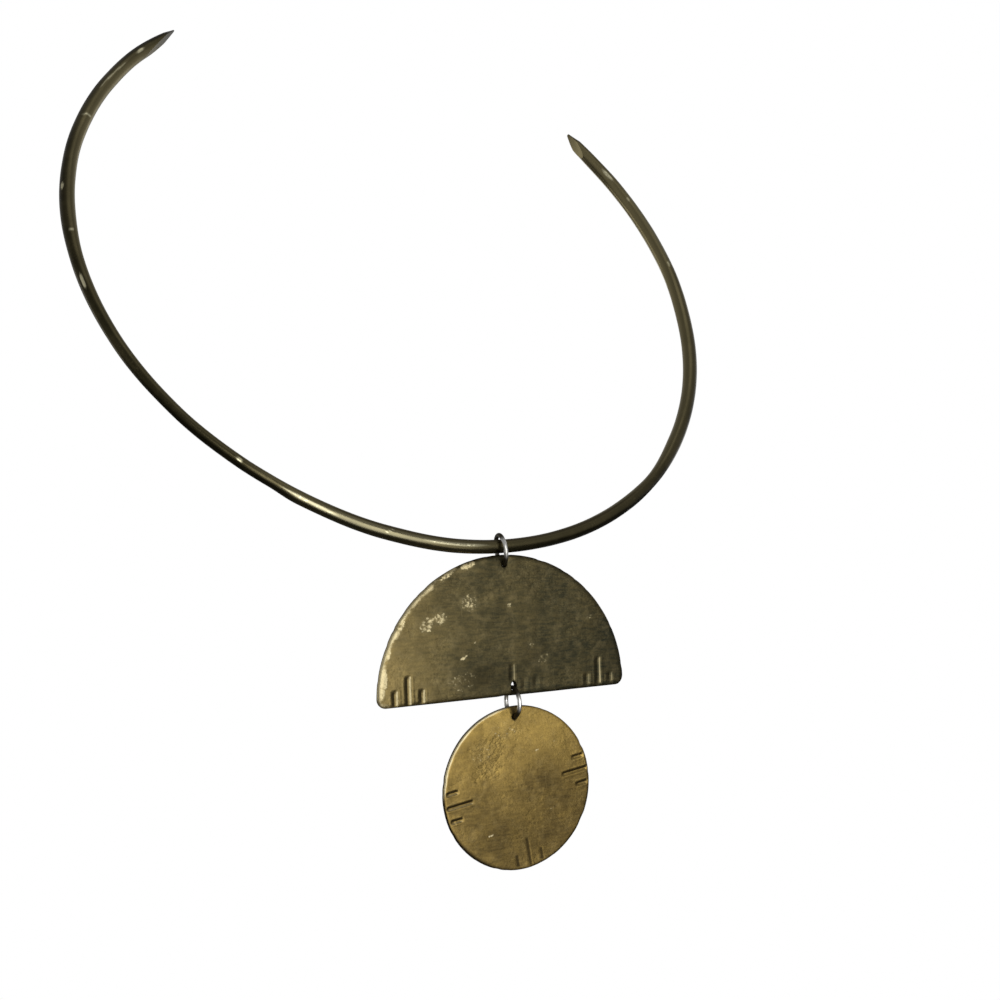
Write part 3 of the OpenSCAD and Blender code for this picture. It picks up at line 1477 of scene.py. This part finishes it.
    def half_thickness(self, x: float, y: float) -> float:
        """Gives the height of the eased surface above the sheet's middle.

        Args:
            x: Place across the plate.
            y: Place up the plate.

        Returns:
            The height, in millimetres.
        """
        height = self.thick / 2
        depth = max(0.0, self.inset_at(x, y))
        if depth < self.rim_width:
            height -= self.rim_drop * (1 - quarter_round(1 - depth / self.rim_width))
        to_hole = self.hole_distance(x, y)
        if to_hole < self.lip_reach:
            round_up = quarter_round(min(1.0, 1 - to_hole / self.lip_reach))
            height = min(height, self.edge_half + (self.thick / 2 - self.edge_half) * round_up)
        return height

    def write_layers(self, bm: BMesh, split: float) -> None:
        """Writes the values that the finish reads at each point.

        Args:
            bm: The plate's solid mesh, still flat.
            split: Height that parts its front points from its back ones.
        """
        rim, mark, worn, tone, grime, pitted = (value_layer(bm, name) for name in Layer)
        half = self.punch.half_width
        for vert in bm.verts:
            x, y = vert.co.x, vert.co.y
            front = vert.co.z > split
            depth, rim_out_of_light = max(0.0, self.inset_at(x, y)), self.rim_out_of_light(x, y)
            vert[rim] = min(FAR_FROM_RIM, depth + rim_out_of_light)
            # Each mark's shaded flank, sooty and in painted shade, and its lit flank, a painted highlight
            flanks = [m.flank(x, y, half) for m in self.marks if front and m.is_near(x, y, half)]
            vert[mark] = max(flanks, key=abs, default=0.0)
            # Dirty darkening at each hole's wall, and the painted shadow of the ring's wire in a wedge
            # between the hole and the edge
            around = max(hole.grime(x, y) for hole in self.holes)
            # Dark outline along the rim out of the light and along the back: tarnish and painted shade
            line = (1.0 - depth / self.dark_line) * (rim_out_of_light if front else self.dark_line_behind)
            vert[grime] = max(around, line, self.stain(x, y))
            # Brightness with painted light in it
            vert[tone] = self.tone(x, y)
            vert[pitted] = self.pitted(x, y)
            # Rubbed wear and painted highlights
            vert[worn] = strongest(self.wear_and_highlight_spots, x, y) if front else 0.0

    def press(self, bm: BMesh, split: float) -> None:
        """Presses the wall, the struck marks, the dents and the nicks into the solid sheet.

        Args:
            bm: The plate's solid mesh, still flat.
            split: Height that parts its front points from its back ones.
        """
        cx, cy = self.centre
        half = self.punch.half_width
        for vert in bm.verts:
            x, y = vert.co.x, vert.co.y
            front = vert.co.z > split
            depth = max(0.0, self.inset_at(x, y))
            away = limited((self.hole_distance(x, y) - self.lip_reach) / self.calm_reach)
            bow = self.warp * self.swell(x, y, self.warp_size, Swell.WARP) * away
            face = Swell.FRONT_DENTS if front else Swell.BACK_DENTS
            dents = self.swell(x, y, self.dent_size, face)
            near_rim = self.inner_dents + self.rim_dents * math.exp(-depth / self.rim_dents_reach)
            height = self.half_thickness(x, y) + self.dent * dents * away * near_rim
            bites = [m.bite(x, y, half) for m in self.marks if front and m.is_near(x, y, half)]
            bite = max(bites, key=abs, default=0.0)
            vert.co.z = bow + (height - self.punch.depth * bite if front else -height)
            nick = max(0.0, self.swell(x, y, self.nick_size, Swell.NICKS) - self.nick_least)
            wave = 0.5 + 0.5 * self.swell(x, y, self.wave_size, Swell.WAVES)
            pull = self.nick * (self.nick_share * nick + self.wave_share * wave)
            pull *= math.exp(-depth / self.nick_reach) * min(1.0, away + self.nick_by_holes)
            run = math.hypot(x - cx, y - cy) or 1.0
            vert.co.x -= pull * (x - cx) / run
            vert.co.y -= pull * (y - cy) / run


@dataclass
class HalfMoon(Plate):
    """The half-moon sheet, round above and straight below.

    Its round rim is rubbed and painted with highlight left of a place, where the light falls, and its
    straight rim at the left corner alone; elsewhere it has a dark outline of tarnish and painted shade.
    """

    centre: Point = (-0.4, -26.35)
    radius: float = 24.6
    skirt: float = 0.6
    corner_radius: float = 1.6
    corner_steps: int = 12
    round_steps: int = 220
    chord_cuts: int = 129
    # Painted light, brighter towards the left
    left_painted_light: float = 0.12
    left_light_fade: float = 10.5
    middle_tone: Shade = Shade(0.0, -13.0, 90.0, 60.0, 0.05)
    stains: tuple[Shade, ...] = (
        Shade(-6.0, -23.5, 50.0, 12.0, 0.44),
        Shade(6.0, -20.0, 50.0, 20.0, 0.36),
        Shade(21.0, -22.0, 30.0, 30.0, 0.32),
    )
    even_pits: float = 0.5
    pits_leftwards: float = 0.005
    # How far the rim out of the light is kept from its rubbed and painted highlight, and where its lit part
    # ends on the round and the straight rim
    out_of_light_depth: float = 1.6
    lit_to: float = -0.42
    lit_fade: float = 0.25
    straight_from: float = -22.6
    straight_fade: float = 1.2
    straight_top: float = -25.2
    straight_rise: float = 0.6

    def tone(self, x: float, y: float) -> float:
        """Gives the plate's brightness as painted light: bright at the left where the light falls, a little
        in the middle, dull at the right.
        """
        return min(1.0, self.left_painted_light * math.exp(-x / self.left_light_fade) + self.middle_tone.level(x, y))

    def rim_out_of_light(self, x: float, y: float) -> float:
        """Gives how far the rim is kept out of the light: it is rubbed and painted with highlight at the
        left alone.

        Args:
            x: Place across the plate.
            y: Place up the plate.

        Returns:
            The extra depth, in millimetres.
        """
        away = (x - self.centre[0]) / self.radius
        straight = limited((x - self.straight_from) / self.straight_fade)
        straight *= limited((self.straight_top - y) / self.straight_rise)
        return self.out_of_light_depth * max(straight, limited((away - self.lit_to) / self.lit_fade))

    def stain(self, x: float, y: float) -> float:
        """Gives the dull stains beside the lower hole, right of it and at the right corner."""
        return sum(shade.level(x, y) for shade in self.stains)

    def pitted(self, x: float, y: float) -> float:
        """Gives how pitted the plate is: a little everywhere, more to the left."""
        return self.even_pits - self.pits_leftwards * x

    def corner(self) -> Point:
        """Gives the right corner's own centre, from the round edge's centre."""
        up = self.corner_radius - self.skirt
        return math.sqrt((self.radius - self.corner_radius) ** 2 - up * up), up

    def inset_at(self, x: float, y: float) -> float:
        """Gives how far inside the outline a point lies.

        Args:
            x: Place across the plate.
            y: Place up the plate.

        Returns:
            The distance, below 0 outside.
        """
        dx, dy = abs(x - self.centre[0]), y - self.centre[1]
        corner_x, corner_y = self.corner()
        inside = min(self.radius - math.hypot(dx, dy), dy + self.skirt)
        if dx > corner_x and dy < corner_y * dx / corner_x:
            inside = min(inside, self.corner_radius - math.hypot(dx - corner_x, dy - corner_y))
        return inside

    def outline(self, bm: BMesh) -> BMFace:
        """Draws the outline by swinging a point round each corner and the round edge.

        Args:
            bm: The empty mesh.

        Returns:
            The outline's face.
        """
        cx, cy = self.centre
        corner_x, corner_y = self.corner()
        shoulder = math.atan2(corner_y, corner_x)
        start = bm.verts.new((cx + corner_x, cy - self.skirt, 0))
        swings = (
            ((cx + corner_x, cy + corner_y, 0), math.pi / 2 + shoulder, self.corner_steps),
            ((cx, cy, 0), math.pi - 2 * shoulder, self.round_steps),
            ((cx - corner_x, cy + corner_y, 0), math.pi / 2 + shoulder, self.corner_steps),
        )
        last = start
        for cent, angle, steps in swings:
            made = bmesh.ops.spin(bm, geom=[last], cent=cent, axis=(0, 0, 1), angle=angle, steps=steps)
            last = next(g for g in made["geom_last"] if isinstance(g, BMVert))
        chord = bm.edges.new((last, start))
        bmesh.ops.subdivide_edges(bm, edges=[chord], cuts=self.chord_cuts)
        return bmesh.ops.contextual_create(bm, geom=bm.edges[:])["faces"][0]


@dataclass
class Disc(Plate):
    """The round sheet that hangs below the half-moon.

    Its rim is rubbed and painted with highlight on its lit side and dark on another, each a direction from
    its centre.
    """

    centre: Point = (1.6, -43.55)
    radius: float = 14.7
    steps: int = 240
    # Brightness: a base, painted light brighter towards the top and a little to the left, and a dull patch
    middle_tone: float = 0.20
    painted_light_upwards: float = 0.047
    painted_light_curve: float = 0.0029
    painted_light_leftwards: float = 0.001
    dull_patch: Shade = Shade(6.6, -43.05, 12.0, 12.0, 0.24)
    even_pits: float = 0.3
    pitted_patch: Shade = Shade(-3.4, -36.55, 34.0, 34.0, 0.9)
    # How far the rim out of the light is kept from its rubbed and painted highlight, and its lit side
    out_of_light_depth: float = 1.2
    lit_way: Point = (-0.77, 0.64)
    lit_from: float = 0.8
    lit_fade: float = 0.25
    dark_way: Point = (-0.60, -0.80)
    dark_power: int = 6
    dark_strength: float = 1.1
    dark_width: float = 1.1

    def off_centre(self, x: float, y: float) -> Point:
        """Gives a point's place from the disc's centre."""
        return x - self.centre[0], y - self.centre[1]

    def towards(self, way: Point, x: float, y: float) -> float:
        """Gives how far a point lies in a direction, as a share of the radius."""
        dx, dy = self.off_centre(x, y)
        return (way[0] * dx + way[1] * dy) / self.radius

    def inset_at(self, x: float, y: float) -> float:
        """Gives how far inside the outline a point lies."""
        return self.radius - math.hypot(*self.off_centre(x, y))

    def tone(self, x: float, y: float) -> float:
        """Gives the disc's brightness as painted light: golden at the top where the light falls, duller down
        and to the right, with a dull patch right of its middle.

        Args:
            x: Place across the plate.
            y: Place up the plate.

        Returns:
            The brightness, from 0 to 1.
        """
        dx, dy = self.off_centre(x, y)
        rise = self.painted_light_upwards * dy + self.painted_light_curve * dy * dy - self.painted_light_leftwards * dx
        return limited(self.middle_tone + rise - self.dull_patch.level(x, y))

    def rim_out_of_light(self, x: float, y: float) -> float:
        """Gives how far the rim is kept out of the light: it is rubbed and painted with highlight at the
        upper left alone.
        """
        towards = self.towards(self.lit_way, x, y)
        return self.out_of_light_depth * limited((self.lit_from - towards) / self.lit_fade)

    def stain(self, x: float, y: float) -> float:
        """Gives the dark skin along the lower left rim.

        Args:
            x: Place across the plate.
            y: Place up the plate.

        Returns:
            The darkness, from 0 to about 1.
        """
        towards = max(0.0, self.towards(self.dark_way, x, y))
        depth = max(0.0, self.inset_at(x, y))
        return self.dark_strength * towards**self.dark_power * max(0.0, 1.0 - depth / self.dark_width)

    def pitted(self, x: float, y: float) -> float:
        """Gives how pitted the disc is: a little everywhere, most at the upper left."""
        return self.even_pits + self.pitted_patch.level(x, y)

    def outline(self, bm: BMesh) -> BMFace:
        """Draws the outline as one round face.

        Args:
            bm: The empty mesh.

        Returns:
            The outline's face.
        """
        made = bmesh.ops.create_circle(bm, segments=self.steps, radius=self.radius, cap_ends=True)
        bmesh.ops.translate(bm, verts=made["verts"], vec=(*self.centre, 0))
        return made["verts"][0].link_faces[0]


@dataclass(frozen=True)
class MarkGroup:
    """A long mark between two short ones, struck outwards to the plate's edge.

    Each run goes from one distance from the centre to another.
    """

    turn: float
    long_run: Point = (9.2, 14.3)
    short_run: Point = (11.7, 13.9)
    pitch: float = 2.5
    strength: float = 1.0
    soot_and_shade: float = 1.0
    lit_flank_highlight: float = 1.0

    def marks(self, cx: float, cy: float) -> list[Mark]:
        """Strikes the group about a centre.

        Args:
            cx: The centre's place across the plate.
            cy: The centre's place up the plate.

        Returns:
            The three marks.
        """
        c, s = math.cos(math.radians(self.turn)), math.sin(math.radians(self.turn))
        made = []
        for step, run in ((-1, self.short_run), (0, self.long_run), (1, self.short_run)):
            side = step * self.pitch
            start, end = ((cx + r * c - side * s, cy + r * s + side * c) for r in run)
            made.append(Mark(start, end, self.strength, self.soot_and_shade, self.lit_flank_highlight))
        return made


@dataclass(frozen=True)
class Softbox:
    """A studio lamp with an even face, placed by angles and turned to the piece.

    Its azimuth and elevation are in degrees, and its sizes and distance in metres.
    """

    name: str
    azimuth: float
    elevation: float
    width: float
    height: float
    brightness: float
    distance: float = 0.70

    def place(self, target: Vector) -> None:
        """Sets the lamp up round a target, unseen by the camera itself.

        Args:
            target: The point that the lamp faces.
        """
        a, e = math.radians(self.azimuth), math.radians(self.elevation)
        back = Vector((math.sin(a) * math.cos(e), -math.cos(a) * math.cos(e), math.sin(e)))
        lamp = bpy.data.lights.new(self.name, "AREA")
        lamp.shape = "RECTANGLE"
        lamp.size, lamp.size_y = self.width, self.height
        lamp.energy = self.brightness * math.pi * self.width * self.height
        made = bpy.data.objects.new(self.name, lamp)
        made.location = target + back * self.distance
        made.rotation_euler = back.to_track_quat("Z", "Y").to_euler()
        made.visible_camera = False
        bpy.context.scene.collection.objects.link(made)


@dataclass
class Studio:
    """The camera, the lamps, the surround and the pale floor.

    Angles are in degrees and lengths in metres.
    """

    pendant: Vector
    azimuth: float = 31.23
    pitch: float = 1.14
    roll: float = -1.69
    distance: float = 0.26668
    focal_pixels: float = 1500.0
    pendant_pixel: Point = (502.15, 544.75)
    nearest: float = 0.005
    farthest: float = 20.0
    lamp_drop: float = 0.02
    floor_height: float = -0.50
    floor_half: float = 3.0
    floor_colour: Colour = (0.20, 0.20, 0.20)
    floor_roughness: float = 0.9
    surround: Colour = (0.40, 0.40, 0.40)
    ceiling: Colour = (0.22, 0.22, 0.22)
    backdrop: Colour = (1.0, 1.0, 1.0)
    lamps: tuple[Softbox, ...] = (
        Softbox("front lamp", -4.0, -4.0, 0.64, 0.80, 2.1),
        Softbox("left lamp", -135.0, 0.0, 0.30, 0.30, 1.0),
        Softbox("right lamp", 118.0, 10.0, 0.40, 0.40, 0.5),
        Softbox("upper lamp", 20.0, 72.0, 0.40, 0.40, 0.3),
        Softbox("back lamp", 165.0, -6.0, 0.60, 0.36, 0.8),
    )

    def build(self) -> None:
        """Sets up the whole studio."""
        self.camera()
        self.world()
        self.floor()
        for lamp in self.lamps:
            lamp.place(self.pendant + Vector((0, 0, -self.lamp_drop)))
        bpy.context.scene.view_settings.view_transform = "Standard"

    def camera(self) -> None:
        """Places the camera by the pendant's place in the picture."""
        a, p, r = (math.radians(v) for v in (self.azimuth, self.pitch, self.roll))
        ahead = Vector((math.sin(a) * math.cos(p), math.cos(a) * math.cos(p), -math.sin(p)))
        level = Vector((math.cos(a), -math.sin(a), 0))
        rise = level.cross(ahead)
        right = math.cos(r) * level + math.sin(r) * rise
        up = math.cos(r) * rise - math.sin(r) * level
        off_x, off_y = (
            (pixel - IMAGE_SIDE / 2) / self.focal_pixels * self.distance for pixel in self.pendant_pixel
        )
        lens = bpy.data.cameras.new("camera")
        lens.sensor_width = SENSOR
        lens.lens = self.focal_pixels / IMAGE_SIDE * SENSOR
        lens.clip_start, lens.clip_end = self.nearest, self.farthest
        made = bpy.data.objects.new("camera", lens)
        turn = Matrix((right, up, -ahead)).transposed().to_4x4()
        spot = self.pendant - (right * off_x - up * off_y + ahead * self.distance)
        made.matrix_world = Matrix.Translation(spot) @ turn
        bpy.context.scene.collection.objects.link(made)
        bpy.context.scene.camera = made

    def world(self) -> None:
        """Gives white behind the piece and a quiet grey, darker above, for it to reflect."""
        world = bpy.data.worlds.new("surround")
        world.use_nodes = True
        bpy.context.scene.world = world
        tree = world.node_tree
        tree.nodes.clear()
        seen = add_node(tree, "ShaderNodeBackground")
        feed(tree, self.backdrop, seen.inputs["Color"])
        lit = add_node(tree, "ShaderNodeBackground")
        rise = add_node(tree, "ShaderNodeSeparateXYZ")
        feed(tree, add_node(tree, "ShaderNodeTexCoord").outputs["Generated"], rise.inputs[0])
        share = spread(tree, rise.outputs[2], low=0.2, high=0.95)
        feed(tree, blend(tree, Blend.COLOURS, share, self.surround, self.ceiling), lit.inputs["Color"])
        shown = show_lens(tree, seen.outputs[0], lit.outputs[0])
        feed(tree, shown, add_node(tree, "ShaderNodeOutputWorld").inputs["Surface"])

    def floor(self) -> None:
        """Lays the pale floor below the piece."""
        bm = bmesh.new()
        level = Matrix.Translation((0, 0, self.floor_height))
        bmesh.ops.create_grid(bm, x_segments=1, y_segments=1, size=self.floor_half, matrix=level)
        material = bpy.data.materials.new("pale floor")
        material.use_nodes = True
        tree = material.node_tree
        shader = tree.nodes["Principled BSDF"]
        feed(tree, self.floor_colour, shader.inputs["Base Color"])
        feed(tree, self.floor_roughness, shader.inputs["Roughness"])
        glow = add_node(tree, "ShaderNodeEmission")
        feed(tree, self.backdrop, glow.inputs["Color"])
        shown = show_lens(tree, glow.outputs[0], shader.outputs[0])
        feed(tree, shown, tree.nodes["Material Output"].inputs["Surface"])
        made = set_out("floor", bm, material)


# The finishes
ROD_BRASS = BrassFinish(
    name="rod brass", dark=(0.030, 0.026, 0.0125), middle=(0.23, 0.195, 0.100), golden=(0.30, 0.24, 0.12),
    worn=(0.82, 0.76, 0.50), roughness=0.29, wear_and_highlight_roughness=0.27, mottle_scale=90.0, dents=0.15, grain=0.0,
    pits=0.0, rim_width=0.3, rim_break=0.8, scratch_amount=0.25, streak_share=0.0, tone_share=0.85,
    mark_dirt_and_shade=0.8, mark_painted_highlight=0.0, soft_wear_and_highlight=0.5, spot_share=0.08,
)
MOON_BRASS = BrassFinish(
    name="moon brass", dark=(0.0215, 0.0255, 0.0180), middle=(0.220, 0.163, 0.062),
    golden=(0.24, 0.19, 0.092), worn=(0.60, 0.51, 0.29), roughness=0.42, wear_and_highlight_roughness=0.46,
    mottle_scale=110.0, dents=0.3, grain=0.3, pits=1.8, rim_width=1.5, rim_break=0.65, scratch_amount=0.2,
    streak_share=0.5, tone_share=0.65, mark_dirt_and_shade=0.75, mark_painted_highlight=0.75, soft_wear_and_highlight=0.05, spot_share=0.25,
    soot_and_shade=(0.026, 0.021, 0.011),
)
DISC_BRASS = BrassFinish(
    name="disc brass", dark=(0.081, 0.057, 0.0225), middle=(0.44, 0.30, 0.083), golden=(0.33, 0.245, 0.10),
    worn=(0.66, 0.56, 0.33), roughness=0.38, wear_and_highlight_roughness=0.45, mottle_scale=140.0, dents=0.5, grain=0.3,
    pits=1.8, rim_width=0.6, rim_break=0.35, scratch_amount=0.2, streak_share=0.35, tone_share=0.6,
    mark_dirt_and_shade=0.85, mark_painted_highlight=0.2, soft_wear_and_highlight=0.04, spot_share=0.2, soot_and_shade=(0.032, 0.023, 0.011),
)
RING_STEEL = WireFinish(
    name="ring steel", colour=(0.90, 0.89, 0.86), dulled=(0.68, 0.66, 0.60), grime=(0.06, 0.05, 0.03),
    roughness=0.29,
)

# Places and patches from the point that the plates hang from, in millimetres across and up
UPPER_RING_CENTRE = (0.0, -0.83)
# Dark spans of the rings, dirty and in painted shade, as angles round each ring in degrees
UPPER_RING_DARK = ((-20.0, 90.0), (180.0, 98.0))
LOWER_RING_CENTRE = (1.2, -28.15)
LOWER_RING_DARK = ((0.0, 85.0), (180.0, 95.0))

MOON_HOLES = (
    Hole(0.0, -3.45, 0.46, 0.95, 1),
    Hole(1.2, -25.29, 0.83, 0.60, -1),
)
DISC_HOLE = Hole(1.2, -30.75, 0.46, 0.95, 1, wedge_growth=0.43)
MOON_MARKS = (
    Mark((-21.8, -24.1), (-21.8, -26.7)),
    Mark((-19.3, -21.8), (-19.3, -26.8)),
    Mark((-16.7, -24.3), (-16.7, -26.55)),
    Mark((0.96, -21.3), (0.96, -24.3), 0.6, 0.15, 0.5),
    Mark((3.3, -23.9), (3.3, -26.1), 0.4, 0.25, 0.15),
    Mark((5.7, -24.0), (5.7, -26.0), 0.35, 0.25, 0.15),
    Mark((16.3, -24.3), (16.3, -26.3), 0.6, 0.25, 0.4),
    Mark((18.7, -21.5), (18.7, -26.3), 0.7, 0.25, 0.65),
    Mark((21.2, -24.5), (21.2, -26.2), 0.6, 0.25, 0.45),
)
# Rubbed patches; those along the left rim also carry its painted highlight
MOON_WEAR_AND_HIGHLIGHT = (
    Spot(-15.4, -13.2, 1.9, 1.5, 50.0, 1.0),
    Spot(-12.8, -12.2, 1.5, 1.4, 0.0, 1.0),
    Spot(-7.2, -9.8, 2.2, 1.8, -20.0, 0.85),
    Spot(0.8, -10.9, 0.6, 0.7, 0.0, 1.0),
    Spot(17.1, -13.9, 0.8, 0.6, 0.0, 0.8),
    Spot(4.9, -18.2, 0.9, 0.6, 30.0, 0.9),
    Spot(-8.5, -19.4, 0.8, 0.28, 20.0, 1.5),
    Spot(-6.3, -17.0, 0.3, 0.3, 0.0, 1.0),
    Spot(-9.0, -23.3, 3.4, 2.6, 0.0, 0.64),
    Spot(7.0, -21.0, 2.4, 1.3, 20.0, 0.68),
    Spot(-7.2, -3.2, 1.9, 0.75, 17.0, 1.35),
    Spot(-11.4, -4.9, 1.7, 0.5, 27.0, 1.2),
    Spot(-20.6, -13.4, 0.9, 2.2, -30.0, 1.05),
    Spot(-22.9, -17.6, 0.7, 1.7, -18.0, 1.05),
    Spot(-23.9, -22.6, 0.8, 3.2, -6.0, 1.35),
)
# Patches of painted highlight and glints, with rubbed scratches among them, by the length along the rod from
# its lowest point and the distance round it
ROD_HIGHLIGHTS_AND_WEAR = (
    Spot(-156.0, 2.14, 1.3, 0.30, 4.0, 1.6),
    Spot(-146.0, 2.15, 6.0, 0.14, -2.0, 1.0),
    Spot(-132.7, 2.42, 0.28, 0.9, 20.0, 1.5),
    Spot(-113.7, 0.90, 0.9, 0.30, 0.0, 1.6),
    Spot(-103.5, 1.72, 0.25, 0.7, 20.0, 1.2),
    Spot(-92.6, 1.06, 1.7, 0.34, 0.0, 1.8),
    Spot(-50.3, 2.07, 0.7, 0.40, 0.0, 1.6),
    Spot(-26.0, 1.35, 17.0, 0.75, 0.0, 0.30),
    Spot(-36.5, 1.50, 6.0, 0.42, -3.0, 1.0),
    Spot(-22.1, 1.61, 0.9, 0.14, 40.0, 1.5),
    Spot(-10.0, 1.35, 7.0, 0.30, 0.0, 1.0),
    Spot(116.0, 1.60, 16.0, 0.5, 0.0, 0.4),
    Spot(129.5, 2.52, 2.0, 0.40, 3.0, 1.3),
    Spot(122.0, 2.36, 0.7, 0.30, 0.0, 1.1),
    Spot(103.4, 1.99, 0.8, 0.30, 0.0, 0.9),
)
# Painted shade along the rod's upper inner edge, by the same measures
ROD_PAINTED_SHADE = (Spot(0.0, 2.40, 45.0, 0.55, 0.0, 0.55),)
# The disc's turn, in degrees, and its marks and patches
DISC_TURN = 8.4
DISC_GROUPS = (
    MarkGroup(DISC_TURN + 180.0),
    MarkGroup(DISC_TURN - 90.0, strength=0.12, soot_and_shade=0.74, lit_flank_highlight=-1.0),
    MarkGroup(DISC_TURN, lit_flank_highlight=0.3),
)
# Rubbed patches, with the broad ones at the top a painted highlight as well
DISC_WEAR_AND_HIGHLIGHT = (
    Spot(-1.0, -33.0, 3.4, 1.9, 0.0, 0.6),
    Spot(-5.5, -36.5, 3.0, 2.2, 20.0, 0.6),
    Spot(5.5, -37.2, 0.5, 0.4, 0.0, 1.3),
    Spot(9.2, -35.8, 0.4, 0.3, 0.0, 1.2),
    Spot(-4.2, -51.3, 0.9, 0.18, -10.0, 1.5),
    Spot(8.6, -47.9, 1.9, 0.16, 25.0, 0.9),
)


def plate_place(pendant: Vector, across: Vector) -> Matrix:
    """Works out where the plates hang.

    Args:
        pendant: The point of the rod that they hang from.
        across: The direction to the plates' right.

    Returns:
        The matrix from plate metres, with x right, y up and z to the front, to the shared frame.
    """
    up = Vector((0, 0, 1))
    turn = Matrix((across, up, across.cross(up))).transposed().to_4x4()
    return Matrix.Translation(pendant) @ turn


def main() -> None:
    """Builds, dresses and reports every piece and then sets up the studio."""
    logging.basicConfig(level=logging.INFO, format="%(name)s: %(message)s")
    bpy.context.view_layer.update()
    joints = {j["name"]: j for j in frame["joints"]}
    pendant = Vector(joints["half_moon_swing"]["pos_m"])
    place = plate_place(pendant, Vector(joints["disc_swing"]["axis"]).normalized())
    slope = math.atan2(-pendant.z, -pendant.y)
    effects = Effects()
    wire = RING_STEEL.build(effects)
    rod = CollarRod(
        "collar_rod", "neck_ring", "collar", "rod_brass", ring_radius=pendant.length / MM, slope=slope,
        wear_and_highlight_spots=ROD_HIGHLIGHTS_AND_WEAR, painted_shade_spots=ROD_PAINTED_SHADE,
    )
    upper = WireRing(
        "upper_ring", "upper_jump_ring", "half_moon", "wire_steel", place, UPPER_RING_CENTRE,
        UPPER_RING_DARK, turn=-8.0, lean=6.0,
    )
    moon = HalfMoon(
        "half_moon", "half_moon_plate", "half_moon", "moon_brass", place, thick=1.2, holes=MOON_HOLES,
        marks=MOON_MARKS, punch=Punch.BROAD, wear_and_highlight_spots=MOON_WEAR_AND_HIGHLIGHT, seed=2.0, rim_width=1.0, rim_drop=0.45,
    )
    lower = WireRing(
        "lower_ring", "lower_jump_ring", "disc", "wire_steel", place, LOWER_RING_CENTRE, LOWER_RING_DARK
    )
    disc_marks = tuple(mark for group in DISC_GROUPS for mark in group.marks(*Disc.centre))
    disc = Disc(
        "disc", "disc_plate", "disc", "disc_brass", place, thick=1.0, holes=(DISC_HOLE,), marks=disc_marks,
        punch=Punch.FINE, wear_and_highlight_spots=DISC_WEAR_AND_HIGHLIGHT, seed=31.0, rim_width=0.5, rim_drop=0.22, cell=0.36,
        grid_turn=DISC_TURN,
    )
    rod.make(ROD_BRASS.build(effects))
    upper.make(wire)
    moon.make(MOON_BRASS.build(effects))
    lower.make(wire)
    disc.make(DISC_BRASS.build(effects))
    Studio(pendant).build()


if __name__ == "__main__":
    main()
